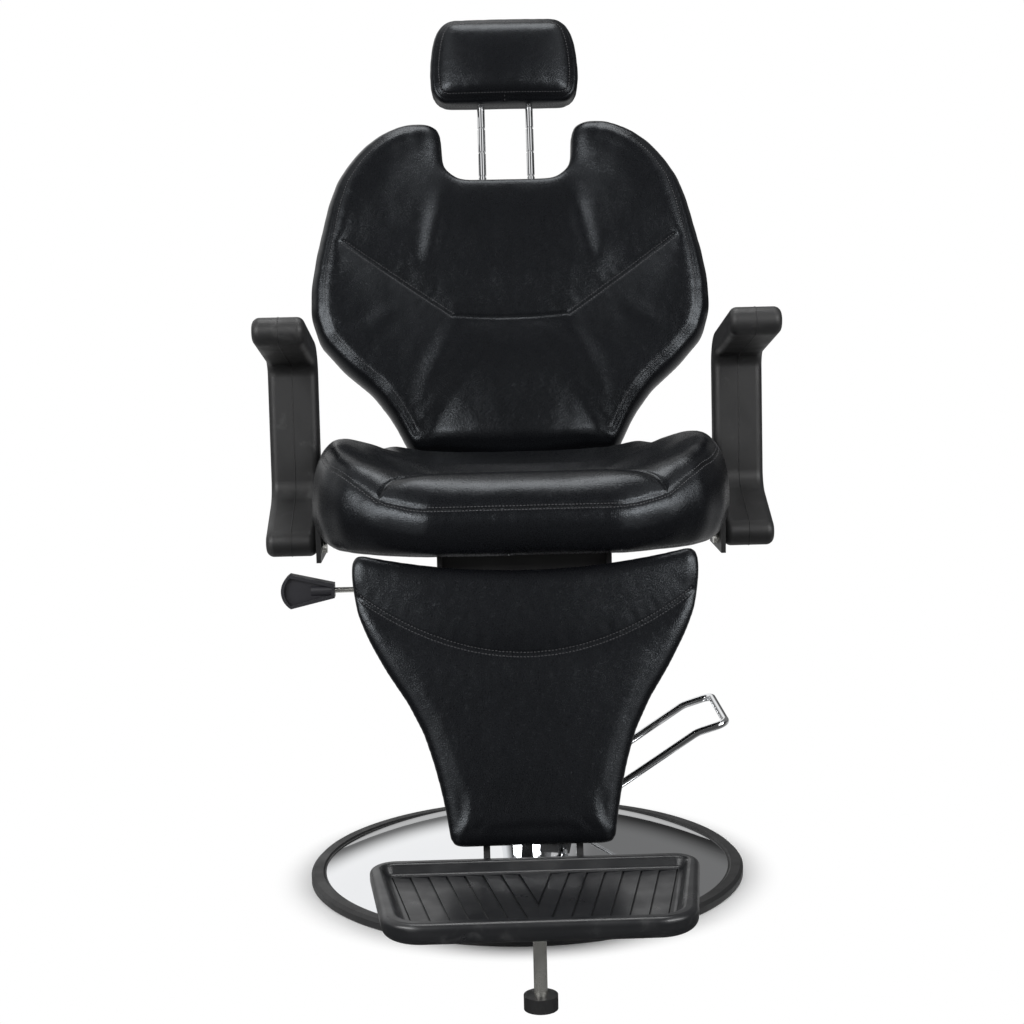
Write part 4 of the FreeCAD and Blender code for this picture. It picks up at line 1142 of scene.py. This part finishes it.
@dataclass
class BackPad(Pad):
    """The backrest: a shoulder panel above a folded seam, with a lumbar panel and its wings below."""

    hollow: float = 0.008
    wing: float = 0.030
    wing_power: float = 2.2
    fold_out: Span = (0.238, 0.305)
    fold_in: Span = (0.084, 0.199)
    fold_points: int = 30
    crease_bow: float = 0.004
    crease_points: int = 40
    width_cuts: int = 60
    lumbar: float = 0.006
    lumbar_at: float = 0.10
    lumbar_reach: float = 0.06
    edge_along: tuple[float, ...] = (0.0, 0.10, 0.20, 0.31, 0.42, 0.49)
    edge_inset: tuple[float, ...] = (0.019, 0.019, 0.018, 0.015, 0.011, 0.008)
    notch_lift: float = 0.005
    notch_half: float = 0.098
    notch_from: float = 0.35
    notch_span: Span = (0.405, 0.44)
    bottom_drop: float = 0.005
    bottom_span: Span = (0.0, 0.05)
    edge_from: Span = (0.135, 0.015)

    def trim(self, ring: np.ndarray) -> np.ndarray:
        """Lifts the bottom of the notch and lets the lower edge hang, where leather covers the board.

        Args:
            ring: The outline's points.

        Returns:
            The changed points.
        """
        inside = (np.abs(ring[:, 0]) < self.notch_half) & (ring[:, 1] > self.notch_from)
        low = inside * (1.0 - ease(*self.notch_span, ring[:, 1]))
        hang = 1.0 - ease(*self.bottom_span, ring[:, 1])
        shift = self.notch_lift * low - self.bottom_drop * hang
        return ring + np.column_stack([np.zeros(len(ring)), shift])

    def face(self, plan: np.ndarray) -> np.ndarray:
        """Level of the hollow middle, its lumbar swell and the wings that come forward on both sides.

        Args:
            plan: Rows of across and along.

        Returns:
            One level for each row.
        """
        across, along = plan.T
        half = self.half_width(along)
        share = np.clip(np.abs(across) / half, 0.0, 1.0)
        near = np.exp(-((along - self.lumbar_at) / self.lumbar_reach) ** 2)
        swell = self.lumbar * near * (1.0 - share ** 2)
        return self.hollow + self.wing * share ** self.wing_power + swell

    def half_width(self, along: np.ndarray) -> np.ndarray:
        """Half the backrest's width at heights along it.

        Args:
            along: The heights.

        Returns:
            One half width for each height.
        """
        heights = np.linspace(*self.form.span(1), self.width_cuts)[1:-1]
        widths = [np.abs(self.form.crossing(1, height, 0)).max() for height in heights]
        return np.interp(along, heights, widths)

    def seams(self) -> list[Seam]:
        """The two stitched folds, the crease that joins them and the edge seam up both sides.

        Returns:
            The five lines.
        """
        out, inn = np.array(self.fold_out), np.array(self.fold_in)
        share = np.linspace(0.0, 1.0, self.fold_points)[:, None]
        fold = out + (inn - out) * share
        flip = np.array([-1.0, 1.0])
        across = np.linspace(-inn[0], inn[0], self.crease_points)
        crease = np.column_stack([across, inn[1] - self.crease_bow * (1.0 - (across / inn[0]) ** 2)])
        start = int(np.argmin(np.abs(self.ring[:, 0]) + np.abs(self.ring[:, 1] - self.form.span(1)[0])))
        ring = np.roll(self.ring, -start, 0)
        right = ring[: len(ring) // 2]
        depth = np.interp(right[:, 1], self.edge_along, self.edge_inset)
        drawn = right + inward(ring)[: len(ring) // 2] * depth[:, None]
        edge = drawn[(right > self.edge_from).all(1)]
        return [Seam(SeamKind.FOLD, fold), Seam(SeamKind.FOLD, fold[::-1] * flip),
                Seam(SeamKind.CREASE, crease),
                Seam(SeamKind.EDGE, edge), Seam(SeamKind.EDGE, edge[::-1] * flip)]


@dataclass
class HeadPad(Pad):
    """The headrest: a pillow panel set into a side band by a stitched seam."""

    edge_level: float = 0.018
    crown: float = 0.011
    crown_fall: float = 0.6
    arch: float = 0.002
    joint_gap: float = 0.001
    joint_points: int = 8
    seam_insets: tuple[float, ...] = (0.006, 0.0075, 0.007, 0.004)
    seam_steps: tuple[float, ...] = (0.0, 0.25, 0.80, 1.0)

    def trim(self, ring: np.ndarray) -> np.ndarray:
        """Arches the top edge.

        Args:
            ring: The outline's points.

        Returns:
            The changed points.
        """
        low, high = self.form.span(1)
        rise = self.arch * ease(low, high, ring[:, 1]) * (1.0 - (ring[:, 0] / self.form.span(0)[1]) ** 2)
        return ring + np.column_stack([np.zeros(len(ring)), rise])

    def face(self, plan: np.ndarray) -> np.ndarray:
        """Level of the pillow.

        Args:
            plan: Rows of across and along.

        Returns:
            One level for each row.
        """
        across, along = plan.T
        half = self.form.span(0)[1]
        low, high = self.form.span(1)
        rise = (along - 0.5 * (low + high)) / (0.5 * (high - low))
        fall = 1.0 - self.crown_fall * rise ** 2
        return self.edge_level + self.crown * (1.0 - (across / half) ** 2) * fall

    def seams(self) -> list[Seam]:
        """The seam all round the pillow, and the short one below its middle.

        Returns:
            The two lines.
        """
        low, high = float(self.ring[:, 1].min()), float(self.ring[:, 1].max())
        depth = np.interp((self.ring[:, 1] - low) / (high - low), self.seam_steps, self.seam_insets)
        loop = self.ring + inward(self.ring) * depth[:, None]
        joint_top = low + self.seam_insets[0] - self.joint_gap
        along = np.linspace(low + self.joint_gap, joint_top, self.joint_points)
        joint = np.column_stack([np.zeros(len(along)), along])
        return [Seam(SeamKind.EDGE, np.vstack([loop, loop[:1]])), Seam(SeamKind.HEM, joint)]


@dataclass
class LegPad(Pad):
    """The legrest: a thin tapering pad with one curved double seam across it."""

    edge_level: float = -0.006
    crown: float = 0.003
    seam_end: float = -0.039
    seam_drop: float = 0.077
    seam_share: float = 0.975
    seam_points: int = 80
    top_lift: float = 0.008
    top_span: Span = (-0.09, -0.03)

    def trim(self, ring: np.ndarray) -> np.ndarray:
        """Lifts the top edge, where the leather stands over the board."""
        rise = self.top_lift * ease(*self.top_span, ring[:, 1])
        return ring + np.column_stack([np.zeros(len(ring)), rise])

    def face(self, plan: np.ndarray) -> np.ndarray:
        """Level of the slightly crowned face."""
        half = self.form.span(0)[1]
        return self.edge_level + self.crown * (1.0 - (plan[:, 0] / half) ** 2)

    def seams(self) -> list[Seam]:
        """The curved seam from side to side.

        Returns:
            The one line.
        """
        half = self.form.span(0)[1]
        across = np.linspace(-self.seam_share * half, self.seam_share * half, self.seam_points)
        drop = self.seam_drop * (1.0 - (across / half) ** 2)
        return [Seam(SeamKind.LAP, np.column_stack([across, self.seam_end - drop]))]


class Cushions:
    """The four leather cushions, swollen together in one simulation."""

    def __init__(self) -> None:
        """Lists the cushions with their levels and rolls."""
        self.pads: list[Pad] = [
            SeatPad("seat_leather", "seat", "seat_cushion", FLAT, base=0.468, wall=(0.497, 0.509),
                    roll_width=0.070, under_width=0.034, fill=0.85),
            BackPad("back_leather", "backrest", "back_cushion", BACK, base=-0.027, wall=(-0.021, 0.003),
                    roll_width=0.026, under_width=0.006, cap=0.005),
            HeadPad("head_leather", "headrest", "headrest_cushion", BACK, base=-0.029, wall=(-0.022, 0.006),
                    roll_width=0.022, under_width=0.006, inset=-0.002, voxel=0.004, cap=0.006, fill=0.85,
                    wrinkle=0.0004),
            LegPad("leg_leather", "legrest", "leg_cushion", LEG, base=-0.0195, wall=(-0.0175, -0.0115),
                   roll_width=0.012, under_width=0.003, inset=-0.003, voxel=0.0034, cap=0.0015, fill=0.7,
                   wrinkle=0.0003),
        ]

    def build(self) -> None:
        """Makes the meshes, swells them and finishes each one."""
        for pad in self.pads:
            pad.start()
        for pad in self.pads:
            pad.stuff()
        for number in range(1, SWELL_FRAMES + 1):
            bpy.context.scene.frame_set(number)
        for pad in self.pads:
            pad.settle()
        bpy.context.scene.frame_set(1)
        for pad in self.pads:
            pad.refine()
            pad.dress()


@dataclass
class Armrests:
    """The moulded armrests, with the fine line that their mould leaves."""

    nodes: tuple[str, ...] = ("armrest_left", "armrest_right")
    line_radius: float = 0.0006
    line_step: float = 0.003
    weld: float = 1e-6

    def build(self) -> None:
        """Dresses the arms and lays the mould lines on them."""
        dress(ARM_SKIN, *self.nodes)
        lines = [self.cut_line(node) for node in self.nodes]
        sizes = {"Radius": self.line_radius, "Skin": ARM_SKIN.material()}
        piece = along_lines("arm_mould_lines", lines, None, True, RidgeTree().tree(), sizes)
        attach(piece, "seat")
        log.info("%s: %d faces", piece.name, len(piece.data.polygons))

    def cut_line(self, node: str) -> np.ndarray:
        """The closed line where an arm's middle plane meets its surface.

        Args:
            node: The arm's CAD node.

        Returns:
            Rows of world places, closed.
        """
        low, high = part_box(node)
        shape = bmesh.new()
        shape.from_mesh(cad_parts[node].data)
        bmesh.ops.remove_doubles(shape, verts=shape.verts[:], dist=self.weld)
        cut = bmesh.ops.bisect_plane(shape, geom=shape.verts[:] + shape.edges[:] + shape.faces[:],
                                     plane_co=((low.x + high.x) / 2.0, 0.0, 0.0), plane_no=(1.0, 0.0, 0.0))
        edges = [item for item in cut["geom_cut"] if isinstance(item, bmesh.types.BMEdge)]
        links: dict[int, list[bmesh.types.BMVert]] = {}
        for edge in edges:
            one, two = edge.verts
            links.setdefault(id(one), []).append(two)
            links.setdefault(id(two), []).append(one)
        here = edges[0].verts[0]
        line, last = [], None
        while here is not None and len(line) <= len(edges):
            line.append(tuple(here.co))
            options = [vert for vert in links[id(here)] if vert is not last]
            last, here = here, options[0] if options else None
            if here is edges[0].verts[0]:
                break
        shape.free()
        return evenly(np.array(line), self.line_step, closed=True)


def dress(finish: Finish, *nodes: str) -> None:
    """Gives CAD nodes a finish, in each of their material slots.

    Args:
        finish: The finish.
        nodes: The nodes' names.
    """
    for name in nodes:
        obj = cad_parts[name]
        for slot in obj.material_slots:
            slot.material = finish.material()
        log.info("%s: %s", name, finish.name)


@dataclass
class Metalwork:
    """The base, pump, frames, lever and small steel parts, which keep their CAD shape."""

    chrome: tuple[str, ...] = (
        "base_dome", "pump_lever", "pump_cylinder", "pump_bolts", "pump_collar", "ram", "ram_piston",
        "headrest_rods", "lever_shaft")
    black: tuple[str, ...] = (
        "base_plate", "lever_block", "swivel_plate", "swivel_bolts", "swivel_bearing", "seat_frame",
        "arm_bracket_left", "arm_bracket_right", "back_frame", "leg_frame", "lever_bracket", "recline_link",
        "gas_barrel", "release_head", "pump_gland")
    zinc: tuple[str, ...] = (
        "seat_screws", "arm_bolts", "back_hinge_rod", "leg_hinge_rod", "release_button", "gas_rod",
        "gas_fork", "lever_pivot_pin", "recline_rod", "gas_pin", "link_pin_rear", "link_pin_front",
        "back_screws", "leg_screws", "tray_bolts", "support_rod", "support_nut")
    covered: tuple[str, ...] = ("seat_board", "back_board", "headrest_board", "leg_board", "headrest_guides")

    def build(self) -> None:
        """Dresses every part."""
        dress(CHROME, *self.chrome)
        dress(BLACK_COAT, *self.black)
        dress(ZINC, *self.zinc)
        dress(COVER_CLOTH, *self.covered)
        dress(RIM_RUBBER, "base_rim", "support_foot")
        dress(TREAD_RUBBER, "footrest_tray")
        dress(KNOB_PLASTIC, "recline_knob")


@dataclass(frozen=True)
class Softbox:
    """A studio lamp behind a diffuser."""

    name: str
    place: Place
    aim: Place
    width: float
    height: float
    watts: float

    def hang(self) -> None:
        """Puts the lamp in the scene."""
        lamp = bpy.data.lights.new(self.name, "AREA")
        lamp.shape = "RECTANGLE"
        lamp.size, lamp.size_y = self.width, self.height
        lamp.energy = self.watts
        obj = bpy.data.objects.new(self.name, lamp)
        obj.location = self.place
        obj.rotation_euler = (Vector(self.aim) - Vector(self.place)).to_track_quat("-Z", "Y").to_euler()
        bpy.context.scene.collection.objects.link(obj)


@dataclass
class Studio:
    """The pale floor, the lamps, the white surround and the camera of the photograph."""

    lamps: tuple[Softbox, ...] = (
        Softbox("key_left", (-1.75, -2.4, 1.9), (0.0, 0.0, 0.6), 1.3, 0.8, 44.0),
        Softbox("key_right", (1.75, -2.4, 1.9), (0.0, 0.0, 0.6), 1.3, 0.8, 40.0),
        Softbox("rim_left", (-2.15, -1.4, 1.3), (0.0, 0.0, 0.6), 0.6, 1.0, 17.0),
        Softbox("rim_right", (2.15, -1.4, 1.3), (0.0, 0.0, 0.6), 0.6, 1.0, 15.0),
        Softbox("lamp_top", (0.0, 0.2, 2.9), (0.0, 0.0, 0.4), 1.4, 1.0, 30.0),
    )
    floor_half: float = 6.0
    floor_tone: Colour = (0.90, 0.90, 0.90)
    floor_roughness: float = 0.9
    floor_fade: Span = (0.285, 0.345)
    floor_rear: Span = (-0.3, 0.5)
    floor_glow: float = 0.5
    fill: float = 0.42
    rear_span: Span = (-0.25, 0.35)
    side_span: Span = (-0.02, 0.16)
    high_span: Span = (0.02, 0.30)
    low_glow: float = 0.15
    strip_inner: Span = (0.22, 0.42)
    strip_outer: Span = (0.62, 0.78)
    strip_depth: Span = (-0.15, 0.2)
    strip_rest: float = 0.05
    front_glow: float = 0.07
    dark_side: float = 0.18
    strip_glow: float = 1.0
    eye: Place = (-0.05842, -2.40607, 0.79823)
    heading: float = -1.391
    pitch: float = 7.804
    tilt: float = -1.262
    focal_px: float = 1828.814
    centre_px: Span = (519.861, 529.258)
    frame_px: float = 1024.0
    sensor: float = 36.0

    def build(self) -> None:
        """Sets up the floor, the light and the camera."""
        bpy.context.scene.view_settings.view_transform = "Standard"
        self.floor()
        self.surround()
        for lamp in self.lamps:
            lamp.hang()
        self.camera()

    def floor(self) -> None:
        """A large white floor that takes the shadow near the chair and turns plain white further out."""
        half = self.floor_half
        corners = [(-half, -half, 0.0), (half, -half, 0.0), (half, half, 0.0), (-half, half, 0.0)]
        mesh = bpy.data.meshes.new("floor")
        mesh.from_pydata(corners, [], [(0, 1, 2, 3)])
        material = bpy.data.materials.new("floor_white")
        material.use_nodes = True
        sheet = NodeSheet(material.node_tree)
        shader = material.node_tree.nodes["Principled BSDF"]
        shader.inputs["Base Color"].default_value = (*self.floor_tone, 1.0)
        shader.inputs["Roughness"].default_value = self.floor_roughness
        shader.inputs["Specular IOR Level"].default_value = 0.0
        where = sheet.put("ShaderNodeTexCoord").outputs["Object"]
        away = sheet.put("ShaderNodeVectorMath", {0: where}, operation="LENGTH").outputs["Value"]
        path = sheet.put("ShaderNodeLightPath").outputs
        seen = sheet.combine("MAXIMUM", path["Is Camera Ray"], path["Is Glossy Ray"])
        seen = sheet.combine("MAXIMUM", seen, path["Is Transmission Ray"])
        share = sheet.combine("MULTIPLY", sheet.ramp(away, self.floor_fade), seen)
        parts = sheet.put("ShaderNodeSeparateXYZ", {0: where}).outputs
        rear = sheet.ramp(parts["Y"], self.floor_rear, self.front_glow, self.floor_glow, smooth=False)
        glow = sheet.put("ShaderNodeMix", {"Factor": path["Is Camera Ray"], 2: rear, 3: 1.0}).outputs[0]
        white = sheet.put("ShaderNodeEmission", {"Color": WHITE, "Strength": glow})
        mixed = sheet.mixed(share, shader, white)
        sheet.feed(material.node_tree.nodes["Material Output"].inputs["Surface"], mixed.outputs[0])
        mesh.materials.append(material)
        new_object("floor", mesh)

    def surround(self) -> None:
        """White for the eye, light and dark sides for reflections, and a soft fill light."""
        world = bpy.data.worlds.new("studio")
        world.use_nodes = True
        bpy.context.scene.world = world
        sheet = NodeSheet(world.node_tree)
        fill = world.node_tree.nodes["Background"]
        fill.inputs["Color"].default_value = WHITE
        fill.inputs["Strength"].default_value = self.fill
        mirror = sheet.put("ShaderNodeBackground", {"Color": WHITE, "Strength": self.mirror_glow(sheet)})
        white = sheet.put("ShaderNodeBackground", {"Color": WHITE, "Strength": 1.0})
        path = sheet.put("ShaderNodeLightPath").outputs
        glossy = sheet.mixed(path["Is Glossy Ray"], fill, mirror)
        seen = sheet.combine("MAXIMUM", path["Is Camera Ray"], path["Is Transmission Ray"])
        mixed = sheet.mixed(seen, glossy, white)
        sheet.feed(world.node_tree.nodes["World Output"].inputs["Surface"], mixed.outputs[0])

    def mirror_glow(self, sheet: NodeSheet) -> bpy.types.NodeSocket:
        """How bright the surround is in a reflection: white behind the chair, with two strips in front.

        Args:
            sheet: The world's tree.

        Returns:
            The strength's output.
        """
        where = sheet.put("ShaderNodeTexCoord").outputs["Generated"]
        parts = sheet.put("ShaderNodeSeparateXYZ", {0: where}).outputs
        rear = sheet.ramp(parts["Y"], self.rear_span, self.front_glow, smooth=False)
        side = sheet.ramp(parts["X"], self.side_span, 1.0, self.dark_side)
        high = sheet.ramp(parts["Z"], self.high_span, self.low_glow)
        glow = sheet.combine("MULTIPLY", sheet.combine("MULTIPLY", rear, side), high)
        width = sheet.combine("ABSOLUTE", parts["X"])
        inner = sheet.ramp(width, self.strip_inner, self.front_glow, self.strip_glow)
        outer = sheet.ramp(width, self.strip_outer, 1.0, self.strip_rest)
        ahead = sheet.ramp(parts["Y"], self.strip_depth, 1.0, 0.0, smooth=False)
        strip = sheet.combine("MULTIPLY", sheet.combine("MULTIPLY", inner, outer), ahead)
        return sheet.combine("MAXIMUM", glow, strip)

    def camera(self) -> None:
        """The camera at the photograph's place, turned and shifted as it was."""
        turn, dip, tilt = (math.radians(value) for value in (self.heading, self.pitch, self.tilt))
        ahead = Vector((-math.sin(turn) * math.cos(dip), math.cos(turn) * math.cos(dip), -math.sin(dip)))
        level = ahead.cross(Vector((0.0, 0.0, 1.0))).normalized()
        upright = level.cross(ahead)
        right = level * math.cos(tilt) + upright * math.sin(tilt)
        upward = upright * math.cos(tilt) - level * math.sin(tilt)
        lens = bpy.data.cameras.new("camera")
        lens.sensor_width = self.sensor
        lens.lens = self.sensor * self.focal_px / self.frame_px
        lens.shift_x = (self.frame_px / 2.0 - self.centre_px[0]) / self.frame_px
        lens.shift_y = (self.centre_px[1] - self.frame_px / 2.0) / self.frame_px
        obj = bpy.data.objects.new("camera", lens)
        turned = Matrix((right, upward, -ahead)).transposed().to_4x4()
        obj.matrix_world = Matrix.Translation(self.eye) @ turned
        bpy.context.scene.collection.objects.link(obj)
        bpy.context.scene.camera = obj


def main() -> None:
    """Builds the chair's visible pieces and the studio."""
    logging.basicConfig(level=logging.INFO, format="%(name)s %(message)s")
    Studio().build()
    Metalwork().build()
    Armrests().build()
    Cushions().build()


if __name__ == "__main__":
    main()
